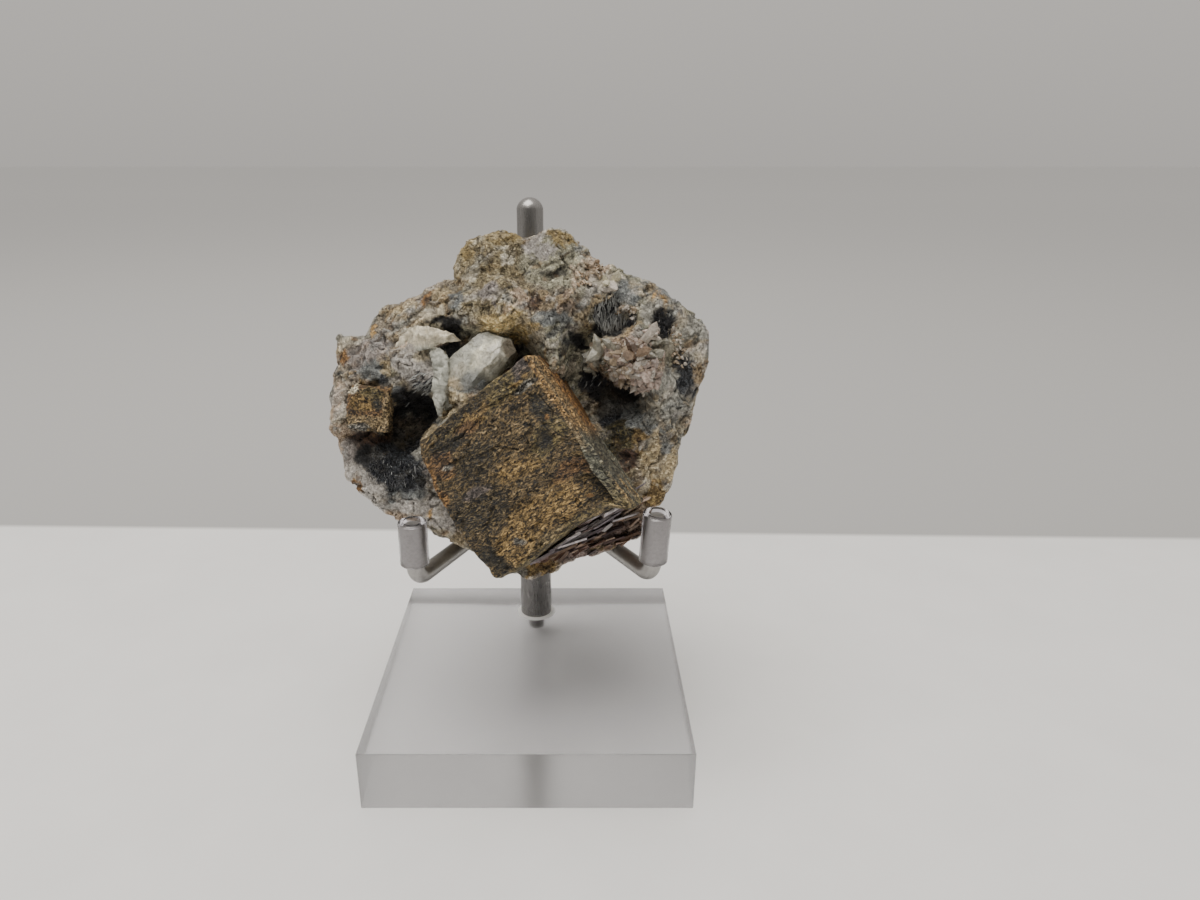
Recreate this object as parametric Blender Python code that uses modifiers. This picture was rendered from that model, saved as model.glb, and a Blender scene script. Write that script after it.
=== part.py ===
"""A limonite pseudomorph after pyrite on its matrix, resting on a steel and acrylic display stand.

Sizes are in millimetres and become metres where a mesh is made. +Z is up, the front faces -Y, and
the origin is the middle of the acrylic base's underside. The specimen is modelled lying flat, in
its own frame of u (right), v (up its face) and w (out of its face), and then leaned back.
"""

import math

import bmesh
import bpy
import numpy as np
from mathutils import Matrix, Vector

MM = 0.001
OBJECT = "limonite_pseudomorph"
GAP = 0.3  # between pieces that touch

BASE_SIDE = 70.0
BASE_HEIGHT = 14.0
BASE_EDGE = 0.5
POST_Y = 22.4
POST_RADIUS = 4.0
POST_TOP = 58.0
STUD_RADIUS = 2.0
STUD_LENGTH = 9.5
SOCKET_DEPTH = 6.0
ROD_RADIUS = 3.0
ROD_TOP = 119.7
ROD_DOME = 2.4
COLLAR_RADIUS = 7.0
COLLAR_HEIGHT = 8.0
ARM_RADIUS = 1.75
ARM_HEIGHT = 48.5
ARM_START = 5.2  # from the post's axis, inside the collar
ARM_BEND = 3.2
SLEEVE_RADIUS = 2.9
SLEEVE_START = 52.0
SLEEVE_RIM = 0.6  # how far a sleeve stands past the end of its arm
ARMS = {
    "left": {"foot": (-22.1, -24.2), "top": 61.4, "lean": 0.0},
    "right": {"foot": (25.7, -22.4), "top": 62.9, "lean": 5.0},
}
ROUND_STEPS = 32

SPECIMEN_PLACE = (-0.9, -3.6, 79.1)
SPECIMEN_LEAN = 20.7  # degrees back from upright

# The specimen's outline, clockwise from its upper left corner, as (u, v).
OUTLINE = [
    (-38.8, 14.4), (-33.5, 14.8), (-32.5, 16.8), (-27.8, 21.2), (-21.9, 22.7), (-18.7, 25.0),
    (-14.6, 26.5), (-14.4, 29.1), (-13.2, 32.5), (-11.2, 34.4), (-7.9, 36.3), (-4.7, 36.9),
    (-2.6, 36.1), (0.2, 35.0), (2.3, 35.6), (6.4, 36.9), (8.9, 36.3), (11.5, 34.4),
    (14.4, 31.8), (17.0, 29.1), (18.9, 29.7), (20.4, 28.6), (22.9, 26.9), (27.6, 25.9),
    (30.8, 23.3), (34.2, 20.4), (38.2, 16.5), (39.2, 13.6), (39.0, 9.1), (38.0, 5.3),
    (36.5, 2.3), (35.4, -2.3), (33.9, -6.8), (33.1, -9.8), (32.2, -14.2), (30.8, -17.6),
    (29.1, -21.2), (25.5, -22.7), (24.8, -28.2), (21.2, -28.6), (18.9, -30.3), (13.8, -31.8),
    (10.4, -32.7), (8.3, -33.5), (6.4, -35.4), (2.3, -36.6), (-1.7, -35.6), (-5.5, -34.2),
    (-8.9, -32.4), (-11.2, -30.6), (-15.7, -28.4), (-19.3, -26.7), (-21.9, -25.2),
    (-25.5, -24.2), (-30.3, -21.9), (-34.6, -18.7), (-37.1, -15.9), (-38.2, -11.5),
    (-39.0, -7.9), (-40.5, -5.1), (-40.3, 0.0), (-39.9, 3.6), (-39.0, 8.5),
]

# How far the face stands out at each form, as (u, v, w, reach). A form owns the ground near it,
# and more of it the greater its reach.
FACE_FORMS = [
    # The granular knob at the top left, and the ochre ledge below it
    (-8.0, 30.5, 4.5, 3.0), (-11.5, 27.0, 6.0, 2.0), (-3.5, 33.0, 3.5, 2.0),
    (-11.0, 19.0, 9.0, 2.5), (-4.5, 19.5, 10.0, 2.5), (1.5, 17.0, 10.0, 2.5), (4.5, 13.2, 9.0, 1.0),
    # The pale knob at the top right, and the band below it
    (8.0, 31.5, 4.5, 3.0), (13.0, 27.5, 5.0, 2.0), (4.5, 26.5, 7.0, 2.0), (1.5, 30.5, 2.5, 0.5),
    (8.0, 20.0, 8.5, 3.0), (14.0, 22.5, 7.0, 2.0), (11.0, 15.5, 6.5, 1.5),
    # The upper left slope
    (-17.5, 21.0, 6.5, 1.5), (-25.5, 16.0, 6.5, 2.5), (-30.0, 18.0, 3.5, 1.0),
    (-35.5, 11.5, 4.0, 1.5), (-35.5, 6.5, 5.5, 1.5), (-29.5, 10.5, 6.5, 2.0),
    (-22.5, 8.5, 8.0, 2.0), (-25.0, 4.0, 6.5, 1.5),
    # The seat of the small cube and the shell round it
    (-32.5, -1.0, 2.0, 2.5), (-38.5, -1.0, 4.0, 1.0), (-32.5, -8.0, 1.0, 1.5),
    # The left vug, and the gaps above the quartz
    (-23.5, -4.0, -7.0, 2.5), (-25.5, -7.5, -6.0, 1.5), (-20.0, -0.5, -4.0, 1.0),
    (-16.8, 9.5, 0.0, 0.5), (-13.5, 12.8, 1.0, 0.2), (-0.3, 12.0, -3.0, 0.8),
    # The ground between the vug and the large cube, and under the quartz
    (-16.0, 4.5, 6.5, 1.0), (-11.0, 2.0, 7.5, 1.5), (-14.0, -3.5, 6.5, 1.0),
    (-7.5, 10.5, 5.0, 2.0), (-20.0, -7.5, 4.0, 0.5),
    # The lower left, down to its glassy rim and the pale wedge by the cube
    (-30.0, -12.0, 4.5, 2.0), (-24.0, -13.5, 5.5, 2.0), (-34.5, -10.0, 2.5, 0.5),
    (-34.5, -15.5, 3.5, 1.0), (-29.0, -19.5, 4.5, 1.5), (-21.5, -20.5, 5.5, 1.0),
    (-16.5, -25.0, 6.5, 1.0),
    # Under the large cube
    (-2.0, -14.0, 2.0, 6.0), (-12.0, -26.0, 4.0, 1.0),
    # The right shoulder
    (18.5, 17.0, 3.0, 1.0), (24.0, 21.5, 6.0, 2.0), (29.5, 19.5, 6.0, 2.0), (34.5, 15.0, 4.0, 1.5),
    # The druse, the vug below it and the pits beside it
    (23.0, 8.0, 11.0, 2.0), (19.0, 11.5, 8.0, 1.0), (27.0, 4.0, 11.0, 1.5), (26.5, 11.5, 8.5, 1.0),
    (18.5, 1.0, -5.0, 2.0), (22.5, 0.5, -3.0, 1.0), (15.5, 4.5, -2.0, 1.0), (11.8, 13.0, -1.0, 0.3),
    # Down the right side
    (33.5, 7.0, 4.5, 1.5), (33.0, 1.5, 4.0, 1.5), (25.0, -4.0, 4.5, 1.5), (30.5, -7.5, 3.5, 1.5),
    (29.5, -12.5, 3.0, 1.5), (28.0, -18.0, 3.0, 1.5), (18.5, -7.5, 2.5, 1.0), (22.0, -12.0, 4.0, 1.5),
    (26.0, -20.5, 3.0, 0.5),
    # The flaky ledge and the brown lump under the cube
    (16.5, -27.0, 8.0, 2.0), (10.5, -30.0, 7.0, 1.5), (22.5, -24.5, 8.0, 1.5), (2.0, -34.5, 2.0, 1.0),
]

# How far the back stands out, in the same way.
BACK_FORMS = [
    (-7.5, 30.0, 8.0, 2.0), (8.5, 30.0, 9.0, 2.0), (0.0, 22.5, 17.5, 4.0), (-18.0, 18.0, 12.0, 2.0),
    (20.0, 18.0, 13.0, 2.0), (-32.0, 8.0, 8.5, 2.0), (33.0, 8.0, 9.5, 2.0), (-16.0, 2.0, 19.0, 4.0),
    (12.0, 4.0, 21.0, 4.0), (-30.0, -9.0, 12.0, 3.0), (28.0, -9.0, 13.0, 3.0), (-2.0, -12.0, 23.0, 4.0),
    (-15.0, -20.0, 18.0, 2.0), (14.0, -22.0, 18.0, 2.0), (0.0, -30.0, 16.0, 2.0),
]
FORM_BLEND = 4.5  # mm squared: small is sharp
SIDE_STEEPNESS = 0.5
UNDERSIDE_STEEPNESS = 1.0
FACET_SIZES = ((8.0, 1.0), (3.6, 0.45))  # the broken stone's facets: how wide, and how far they stand
STONE_LUMPS = (2.4, 0.4)  # the lumps on the stone, in the same way
FORM_WANDER = (6.0, 1.1)  # how the forms' borders bend: how wide a bend is, and how far it goes
OUTLINE_ROUGHNESS = 0.35  # how much of the roughness is left at the outline
UNDERSIDE_SPREAD = 1.6  # how soon the back's slope turns into the underside's
MATRIX_GRID = (150, 90)
MATRIX_FACES = 4700
MATRIX_SMOOTH = 28.0  # degrees

LARGE_CUBE = {
    "size": (30.8, 34.4, 19.0), "place": (-0.9, -14.0, 13.3), "turn": 30.7, "tilt": (-11.0, -6.0),
    "edge": 1.1,
}
SMALL_CUBE = {
    "size": (8.2, 9.0, 9.0), "place": (-31.1, -1.3, 8.0), "turn": -3.0, "tilt": (6.0, 4.0),
    "edge": 0.5,
}
LARGE_CUBE_CUTS = 9
SMALL_CUBE_CUTS = 4
CUBE_LUMPS = ((6.0, 0.22), (2.5, 0.12))  # on a cube's faces: how wide, and how far they stand
CUBE_SMOOTH = 35.0  # degrees
POCKET_CUTS = 3
POCKET_GAP = GAP + 0.4  # the matrix's clearance round a cube, with room for the cube's lumps
RIM_START = 0.56  # the raised rim along the large cube's right side, as a share of its half width
RIM_END = 0.97
RIM_SLOPE = 8.0
RIM_DROP = 0.9

# Crystals that grow from the matrix. The druse is (u, v) of the foot, the way a crystal points, its
# length and its radius.
QUARTZ_LENS = {"place": (-7.9, 10.6, 5.2), "half": (6.6, 4.6, 5.4), "turn": 24.0}
BLADE_PATH = [
    (-21.5, 15.5, 5.5), (-17.5, 15.2, 6.8), (-15.0, 12.2, 7.2), (-14.8, 8.0, 7.4),
    (-15.6, 3.0, 7.0), (-16.8, -2.2, 5.6),
]
BLADE_RADIUS = 1.3
BLADE_DEPTH = 2.2  # its half depth, over its radius
BLADE_ENDS = 0.55  # how thick it is at its ends, as a share of its middle
DRUSE = [
    ((21.0, 9.0), (-0.5, 0.3, 1.0), 3.4, 1.5), ((24.5, 7.0), (0.3, 0.2, 1.0), 3.6, 1.8),
    ((27.5, 3.5), (0.4, -0.5, 1.0), 3.4, 1.6), ((23.5, 3.8), (-0.4, -0.8, 0.8), 3.2, 1.5),
    ((20.0, 6.0), (-0.9, -0.3, 0.8), 3.2, 1.5), ((26.5, 11.5), (0.2, 0.6, 1.0), 3.2, 1.6),
    ((18.5, 12.5), (-0.3, 0.5, 1.0), 3.0, 1.4), ((29.5, 8.0), (0.7, 0.2, 1.0), 3.0, 1.4),
    ((25.8, 1.0), (0.1, -1.0, 0.7), 3.0, 1.3), ((27.6, 7.4), (0.5, -0.2, 1.0), 3.2, 1.4),
    ((16.0, 9.5), (-0.4, -0.2, 1.0), 3.2, 1.4), ((31.0, 14.0), (0.2, 0.3, 1.0), 2.6, 1.3),
    ((22.6, 12.6), (-0.2, 0.6, 1.0), 3.0, 1.4), ((22.2, 6.2), (-0.2, -0.3, 1.0), 3.4, 1.3),
]
CRYSTAL_TIP = 0.9  # a tip's height over the crystal's radius
CRYSTAL_FOOT = 1.1  # its foot's radius over its tip's
CRYSTAL_RISE = 0.3  # how far its middle stands out of the stone, as a share of its length
CUT_PAST = 5.0  # how far a cutter runs past what it cuts
GROOVE_START = 60.0
FINE_STEPS = 24
WIRE_SMOOTH = 40.0  # degrees

COLOURS = {
    "acrylic_base": ((0.86, 0.88, 0.89), 0.05, 0.0), "steel": ((0.55, 0.54, 0.52), 0.3, 1.0),
    "sleeve": ((0.85, 0.86, 0.88), 0.15, 0.0), "matrix": ((0.36, 0.32, 0.25), 0.85, 0.0),
    "limonite": ((0.11, 0.07, 0.03), 0.6, 0.0), "limonite_pale": ((0.25, 0.15, 0.06), 0.75, 0.0),
}


def collection(name):
    made = bpy.data.collections.new(name)
    bpy.context.scene.collection.children.link(made)
    return made


def clear_scene():
    for old in list(bpy.data.objects):
        bpy.data.objects.remove(old, do_unlink=True)


def material(name):
    found = bpy.data.materials.get(name)
    if found:
        return found
    made = bpy.data.materials.new(name)
    made.use_nodes = True
    shader = made.node_tree.nodes["Principled BSDF"]
    colour, roughness, metallic = COLOURS[name]
    shader.inputs["Base Color"].default_value = (*colour, 1.0)
    shader.inputs["Roughness"].default_value = roughness
    shader.inputs["Metallic"].default_value = metallic
    return made


def object_of(bm, name, where, finish=None):
    """An object made from a bmesh in millimetres."""
    bmesh.ops.scale(bm, vec=(MM, MM, MM), verts=bm.verts)
    mesh = bpy.data.meshes.new(name)
    bm.to_mesh(mesh)
    bm.free()
    made = bpy.data.objects.new(name, mesh)
    where.objects.link(made)
    if finish:
        mesh.materials.append(material(finish))
    return made


def cutter(bm, name):
    made = object_of(bm, name, CUTTERS)
    made.hide_render = True
    made.display_type = "WIRE"
    return made


def round_off(made, angle=30.0):
    made.data.shade_smooth()
    made.data.set_sharp_from_angle(angle=math.radians(angle))


def take_modifiers(made):
    """Makes an object's mesh what its modifiers show."""
    graph = bpy.context.evaluated_depsgraph_get()
    mesh = bpy.data.meshes.new_from_object(made.evaluated_get(graph))
    made.modifiers.clear()
    made.data = mesh


def boolean(made, other, operation):
    """Cuts or joins another object, which is then removed."""
    step = made.modifiers.new(operation.lower(), "BOOLEAN")
    step.operation = operation
    step.object = other
    step.solver = "EXACT"
    take_modifiers(made)
    bpy.data.objects.remove(other, do_unlink=True)


def rod_mesh(radius, start, end, steps=ROUND_STEPS):
    """A straight round bar between two points."""
    start, end = Vector(start), Vector(end)
    along = end - start
    bm = bmesh.new()
    bmesh.ops.create_cone(
        bm, cap_ends=True, segments=steps, radius1=radius, radius2=radius, depth=along.length
    )
    turn = along.to_track_quat("Z", "Y").to_matrix().to_4x4()
    bmesh.ops.transform(bm, matrix=Matrix.Translation((start + end) / 2) @ turn, verts=bm.verts)
    return bm


def turned(name, profile, place, finish):
    """A turned piece. Its profile of (radius, height) runs down the outer side."""
    bm = bmesh.new()
    points = [bm.verts.new((radius, 0.0, height)) for radius, height in profile]
    for upper, lower in zip(points, points[1:]):
        bm.edges.new((upper, lower))
    made = object_of(bm, name, PART, finish)
    made.location = Vector(place) * MM
    screw = made.modifiers.new("turn", "SCREW")
    screw.steps = screw.render_steps = ROUND_STEPS
    screw.use_merge_vertices = True
    screw.merge_threshold = 0.00001
    screw.use_smooth_shade = False
    take_modifiers(made)
    round_off(made)
    return made


def arc(centre_r, centre_z, radius, start, end, steps):
    """Points of (radius, height) on an arc, with angles in degrees from +X."""
    angles = [math.radians(start + (end - start) * i / steps) for i in range(steps + 1)]
    return [(centre_r + radius * math.cos(a), centre_z + radius * math.sin(a)) for a in angles]


def make_base():
    bm = bmesh.new()
    bmesh.ops.create_cube(bm, size=1.0)
    bmesh.ops.scale(bm, vec=(BASE_SIDE, BASE_SIDE, BASE_HEIGHT), verts=bm.verts)
    bmesh.ops.translate(bm, vec=(0.0, 0.0, BASE_HEIGHT / 2), verts=bm.verts)
    base = object_of(bm, "acrylic_base", PART, "acrylic_base")
    edge = base.modifiers.new("edge", "BEVEL")
    edge.width = BASE_EDGE * MM
    edge.segments = 2
    take_modifiers(base)
    hole = rod_mesh(
        STUD_RADIUS + GAP,
        (0.0, POST_Y, BASE_HEIGHT - STUD_LENGTH - GAP),
        (0.0, POST_Y, BASE_HEIGHT + 1.0),
    )
    boolean(base, cutter(hole, "stud_hole"), "DIFFERENCE")
    round_off(base)


def make_post():
    foot = BASE_HEIGHT + GAP
    socket_radius = ROD_RADIUS + GAP
    socket_floor = POST_TOP - SOCKET_DEPTH
    turned(
        "post",
        [
            (0.0, socket_floor), (socket_radius, socket_floor), (socket_radius, POST_TOP),
            (POST_RADIUS, POST_TOP), (POST_RADIUS, foot), (STUD_RADIUS, foot),
            (STUD_RADIUS, BASE_HEIGHT - STUD_LENGTH), (0.0, BASE_HEIGHT - STUD_LENGTH),
        ],
        (0.0, POST_Y, 0.0), "steel",
    )


def make_back_rod():
    """The upper rod, which stands in the post's socket and ends in a low dome."""
    shoulder = ROD_TOP - ROD_DOME
    dome_radius = (ROD_RADIUS**2 + ROD_DOME**2) / (2 * ROD_DOME)
    edge_angle = math.degrees(math.asin((dome_radius - ROD_DOME) / dome_radius))
    dome = arc(0.0, ROD_TOP - dome_radius, dome_radius, 90.0, edge_angle, 5)
    foot = POST_TOP - SOCKET_DEPTH + GAP
    profile = [(0.0, ROD_TOP), *dome[1:-1], (ROD_RADIUS, shoulder), (ROD_RADIUS, foot), (0.0, foot)]
    turned("back_rod", profile, (0.0, POST_Y, 0.0), "steel")


def arm_points(side, steps=6):
    """The middle line of an arm: level from the collar, then round a bend and up."""
    arm = ARMS[side]
    post = Vector((0.0, POST_Y, ARM_HEIGHT))
    foot = Vector((*arm["foot"], ARM_HEIGHT))
    out = (foot - post).normalized()
    lean = math.radians(arm["lean"])
    up = Vector((out.x * math.sin(lean), out.y * math.sin(lean), math.cos(lean)))
    turn = math.acos(out.dot(up))
    reach = ARM_BEND * math.tan(turn / 2)
    bend_start = foot - out * reach
    centre = bend_start + Vector((0.0, 0.0, ARM_BEND))
    points = [post + out * ARM_START]
    for i in range(steps + 1):
        angle = turn * i / steps
        points.append(
            centre + (out * math.sin(angle) - Vector((0.0, 0.0, math.cos(angle)))) * ARM_BEND
        )
    height = (arm["top"] - SLEEVE_RIM - points[-1].z) / up.z
    points.append(points[-1] + up * height)
    return points, up


def tube_along(name, points, radius, finish, resolution=4):
    """A round wire along a line of points, as a closed mesh."""
    curve = bpy.data.curves.new(name, "CURVE")
    curve.dimensions = "3D"
    curve.bevel_depth = radius * MM
    curve.bevel_resolution = resolution
    curve.use_fill_caps = True
    spline = curve.splines.new("POLY")
    spline.points.add(len(points) - 1)
    for spot, point in zip(spline.points, points):
        spot.co = (*(Vector(point) * MM), 1.0)
    guide = bpy.data.objects.new(name + "_guide", curve)
    PART.objects.link(guide)
    graph = bpy.context.evaluated_depsgraph_get()
    mesh = bpy.data.meshes.new_from_object(guide.evaluated_get(graph))
    bpy.data.objects.remove(guide, do_unlink=True)
    bm = bmesh.new()
    bm.from_mesh(mesh)
    bmesh.ops.remove_doubles(bm, verts=bm.verts, dist=0.000001)
    bm.to_mesh(mesh)
    bm.free()
    mesh.name = name
    made = bpy.data.objects.new(name, mesh)
    PART.objects.link(made)
    mesh.materials.clear()
    mesh.materials.append(material(finish))
    round_off(made, WIRE_SMOOTH)
    return made


def make_collar():
    """The ring on the post that both arms are set in."""
    bm = rod_mesh(
        COLLAR_RADIUS,
        (0.0, POST_Y, ARM_HEIGHT - COLLAR_HEIGHT / 2),
        (0.0, POST_Y, ARM_HEIGHT + COLLAR_HEIGHT / 2),
    )
    collar = object_of(bm, "arm_collar", PART, "steel")
    bore = rod_mesh(
        POST_RADIUS + GAP,
        (0.0, POST_Y, ARM_HEIGHT - COLLAR_HEIGHT),
        (0.0, POST_Y, ARM_HEIGHT + COLLAR_HEIGHT),
    )
    boolean(collar, cutter(bore, "collar_bore"), "DIFFERENCE")
    for side in ARMS:
        points, _ = arm_points(side)
        out = (points[1] - points[0]).normalized()
        hole = rod_mesh(
            ARM_RADIUS + GAP, points[0] - out * GAP, points[0] + out * COLLAR_RADIUS, FINE_STEPS
        )
        boolean(collar, cutter(hole, f"{side}_arm_hole"), "DIFFERENCE")
    round_off(collar)


def make_arms():
    for side in ARMS:
        points, up = arm_points(side)
        tube_along(f"arm_{side}", points, ARM_RADIUS, "steel")
        start = points[-2] + up * (SLEEVE_START - points[-2].z) / up.z
        end = points[-1] + up * SLEEVE_RIM
        sleeve = object_of(rod_mesh(SLEEVE_RADIUS, start, end), f"sleeve_{side}", PART, "sleeve")
        bore = rod_mesh(ARM_RADIUS + GAP, start - up, end + up)
        boolean(sleeve, cutter(bore, f"{side}_sleeve_bore"), "DIFFERENCE")
        round_off(sleeve)


def specimen_frame():
    lean = Matrix.Rotation(math.radians(90.0 - SPECIMEN_LEAN), 4, "X")
    return Matrix.Translation(Vector(SPECIMEN_PLACE)) @ lean


def lattice(cells, seed):
    """A number from -1 to 1 for each whole (x, y, z)."""
    x, y, z = (cells[..., i].astype(np.int64) for i in range(3))
    mixed = (x * 374761393 + y * 668265263 + z * 1274126177 + seed * 974711) & 0xFFFFFFFF
    mixed = ((mixed ^ (mixed >> 13)) * 1274126177) & 0xFFFFFFFF
    return ((mixed ^ (mixed >> 16)) & 0xFFFF) / 32767.5 - 1.0


def noise(points, scale, seed):
    """Smooth noise from -1 to 1 with lumps about scale wide."""
    places = np.asarray(points, float) / scale
    cells = np.floor(places)
    part = places - cells
    part = part * part * (3.0 - 2.0 * part)
    total = np.zeros(len(places))
    for corner in np.ndindex(2, 2, 2):
        weight = np.prod(np.where(corner, part, 1.0 - part), axis=1)
        total += weight * lattice(cells + corner, seed)
    return total


def facets(points, size, seed):
    """Flat tilted facets about size wide, as on broken stone, from -1 to 1."""
    places = np.asarray(points, float) / size
    cells = np.floor(places)
    nearest = np.full(len(places), np.inf)
    height = np.zeros(len(places))
    for step in np.ndindex(3, 3, 3):
        cell = cells + step - 1.0
        jitter = np.stack([lattice(cell, seed + axis) for axis in range(3)], axis=1)
        away = places - (cell + 0.5 + jitter * 0.45)
        distance = (away**2).sum(axis=1)
        tilt = np.stack([lattice(cell, seed + 3 + axis) for axis in range(3)], axis=1)
        here = (away * tilt).sum(axis=1) * 1.4 + lattice(cell, seed + 6) * 0.5
        height = np.where(distance < nearest, here, height)
        nearest = np.minimum(distance, nearest)
    return np.clip(height, -1.0, 1.0)


def outline_radius(angles):
    """How far the outline lies from the middle in each direction."""
    spots = np.array(OUTLINE)
    ways = np.arctan2(spots[:, 1], spots[:, 0])
    order = np.argsort(ways)
    return np.interp(angles, ways[order], np.hypot(*spots.T)[order], period=2 * math.pi)


def blended(forms, places):
    """The height that a list of forms gives at each place, each form owning the ground near it."""
    table = np.array(forms)
    spread = ((places[:, None, :] - table[None, :, :2]) ** 2).sum(axis=2)
    claim = -(spread - table[None, :, 3] ** 2) / (2 * FORM_BLEND)
    claim = np.exp(claim - claim.max(axis=1, keepdims=True))
    return (claim * table[None, :, 2]).sum(axis=1) / claim.sum(axis=1)


def face_height(place):
    """How far the matrix's face stands out at one (u, v)."""
    reach = math.hypot(*place)
    share = reach / outline_radius([math.atan2(place[1], place[0])])[0]
    across = np.array(place) * share / reach
    direction = np.array([[*across, math.sqrt(1.0 - share**2)]])
    return matrix_shape(direction)[0][2]


def matrix_shape(directions):
    """Where each direction of a ball lies on the matrix, in its own frame."""
    angles = np.arctan2(directions[:, 1], directions[:, 0])
    share = np.hypot(directions[:, 0], directions[:, 1])
    facing = np.abs(directions[:, 2])
    radius = outline_radius(angles) * share
    flat = np.stack([radius * np.cos(angles), radius * np.sin(angles)], axis=1)
    deep = np.concatenate([flat, np.zeros((len(flat), 1))], axis=1)
    wide, far = FORM_WANDER
    shift = np.stack([noise(deep, wide, 11), noise(deep, wide, 12)], axis=1)
    warped = flat + shift * far * (1.0 - share[:, None] ** 4)
    front = blended(FACE_FORMS, warped)
    back = blended(BACK_FORMS, warped)
    downward = np.clip(-np.sin(angles) * UNDERSIDE_SPREAD, 0.0, 1.0)
    back_rise = SIDE_STEEPNESS + (UNDERSIDE_STEEPNESS - SIDE_STEEPNESS) * downward
    height = np.where(
        directions[:, 2] >= 0, front * facing**SIDE_STEEPNESS, -back * facing**back_rise
    )
    shape = np.concatenate([flat, height[:, None]], axis=1)
    size, depth = STONE_LUMPS
    rough = noise(shape, size, 22) * depth
    for step, (size, depth) in enumerate(FACET_SIZES):
        rough += facets(shape, size, 30 + 10 * step) * depth
    share_left = OUTLINE_ROUGHNESS + (1.0 - OUTLINE_ROUGHNESS) * facing
    return shape + directions * (rough * share_left)[:, None]


def crystal(place, way, length, radius):
    """A six-sided crystal with a pointed end, standing on the matrix's face."""
    bm = bmesh.new()
    bmesh.ops.create_cone(
        bm, cap_ends=True, segments=6, radius1=radius * CRYSTAL_FOOT, radius2=radius, depth=length
    )
    bm.faces.ensure_lookup_table()
    top = max(bm.faces, key=lambda face: face.calc_center_median().z)
    bmesh.ops.poke(bm, faces=[top], offset=radius * CRYSTAL_TIP)
    bmesh.ops.translate(bm, vec=(0.0, 0.0, length * CRYSTAL_RISE), verts=bm.verts)
    turn = Vector(way).to_track_quat("Z", "Y").to_matrix().to_4x4()
    foot = Matrix.Translation((*place, face_height(place)))
    bmesh.ops.transform(bm, matrix=foot @ turn, verts=bm.verts)
    return bm


def quartz_lens():
    """The large lens of quartz above the cube, with flat faces."""
    bm = bmesh.new()
    bmesh.ops.create_uvsphere(bm, u_segments=8, v_segments=6, radius=1.0)
    bmesh.ops.scale(bm, vec=QUARTZ_LENS["half"], verts=bm.verts)
    turn = Matrix.Rotation(math.radians(QUARTZ_LENS["turn"]), 4, "Z")
    place = Matrix.Translation(QUARTZ_LENS["place"])
    bmesh.ops.transform(bm, matrix=place @ turn, verts=bm.verts)
    return bm


def blade_mesh():
    """The curved white blade, as a bar that narrows to its ends."""
    bm = bmesh.new()
    path = [Vector(point) for point in BLADE_PATH]
    rings = []
    for i, point in enumerate(path):
        along = (path[min(i + 1, len(path) - 1)] - path[max(i - 1, 0)]).normalized()
        side = along.cross(Vector((0.0, 0.0, 1.0))).normalized()
        deep = side.cross(along)
        share = BLADE_ENDS + (1.0 - BLADE_ENDS) * math.sin(math.pi * (i + 0.5) / len(path))
        ring = []
        for k in range(6):
            angle = math.tau * k / 6
            offset = side * math.cos(angle) + deep * math.sin(angle) * BLADE_DEPTH
            ring.append(bm.verts.new(point + offset * BLADE_RADIUS * share))
        rings.append(ring)
    for near, far in zip(rings, rings[1:]):
        for k in range(6):
            bm.faces.new((near[k], near[(k + 1) % 6], far[(k + 1) % 6], far[k]))
    bm.faces.new(rings[0][::-1])
    bm.faces.new(rings[-1])
    bmesh.ops.recalc_face_normals(bm, faces=bm.faces)
    return bm


def cube_frame(cube):
    """The place of a cube whose front face is centred on its place."""
    turn = Matrix.Rotation(math.radians(cube["turn"]), 4, "Z")
    over = Matrix.Rotation(math.radians(cube["tilt"][0]), 4, "Y")
    down = Matrix.Rotation(math.radians(cube["tilt"][1]), 4, "X")
    back = Matrix.Translation((0.0, 0.0, -cube["size"][2] / 2))
    return Matrix.Translation(cube["place"]) @ turn @ over @ down @ back


def cube_mesh(cube, cuts, grow=0.0):
    """A cube, subdivided, with its edges rounded off."""
    bm = bmesh.new()
    bmesh.ops.create_cube(bm, size=1.0)
    half = Vector(cube["size"]) / 2 + Vector((grow, grow, grow))
    bmesh.ops.scale(bm, vec=half * 2, verts=bm.verts)
    if cuts:
        bmesh.ops.subdivide_edges(bm, edges=bm.edges, cuts=cuts, use_grid_fill=True)
    edge = cube["edge"] + grow
    for vert in bm.verts:
        core = Vector([max(-h + edge, min(h - edge, c)) for c, h in zip(vert.co, half)])
        out = vert.co - core
        if out.length > edge:
            vert.co = core + out.normalized() * edge
    return bm


def weather_cube(bm, size, rim):
    """Adds the low steps and hollows of a weathered face, and the rim along the right side."""
    bm.normal_update()
    places = np.array([vert.co for vert in bm.verts])
    rough = sum(noise(places, wide, 31 + i) * far for i, (wide, far) in enumerate(CUBE_LUMPS))
    for vert, lift in zip(bm.verts, rough):
        across = vert.co.x / (size[0] / 2)
        if rim and vert.co.z > 0 and RIM_START < across < RIM_END:
            lift -= RIM_DROP * min(1.0, (across - RIM_START) * RIM_SLOPE)
        vert.co += vert.normal * lift


def make_cube(name, cube, cuts, finish, rim):
    bm = cube_mesh(cube, cuts)
    weather_cube(bm, cube["size"], rim)
    bmesh.ops.transform(bm, matrix=cube_frame(cube), verts=bm.verts)
    made = object_of(bm, name, PART, finish)
    made.data.transform(specimen_frame_metres())
    round_off(made, CUBE_SMOOTH)
    return made


def specimen_frame_metres():
    frame = specimen_frame()
    frame.translation *= MM
    return frame


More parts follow.
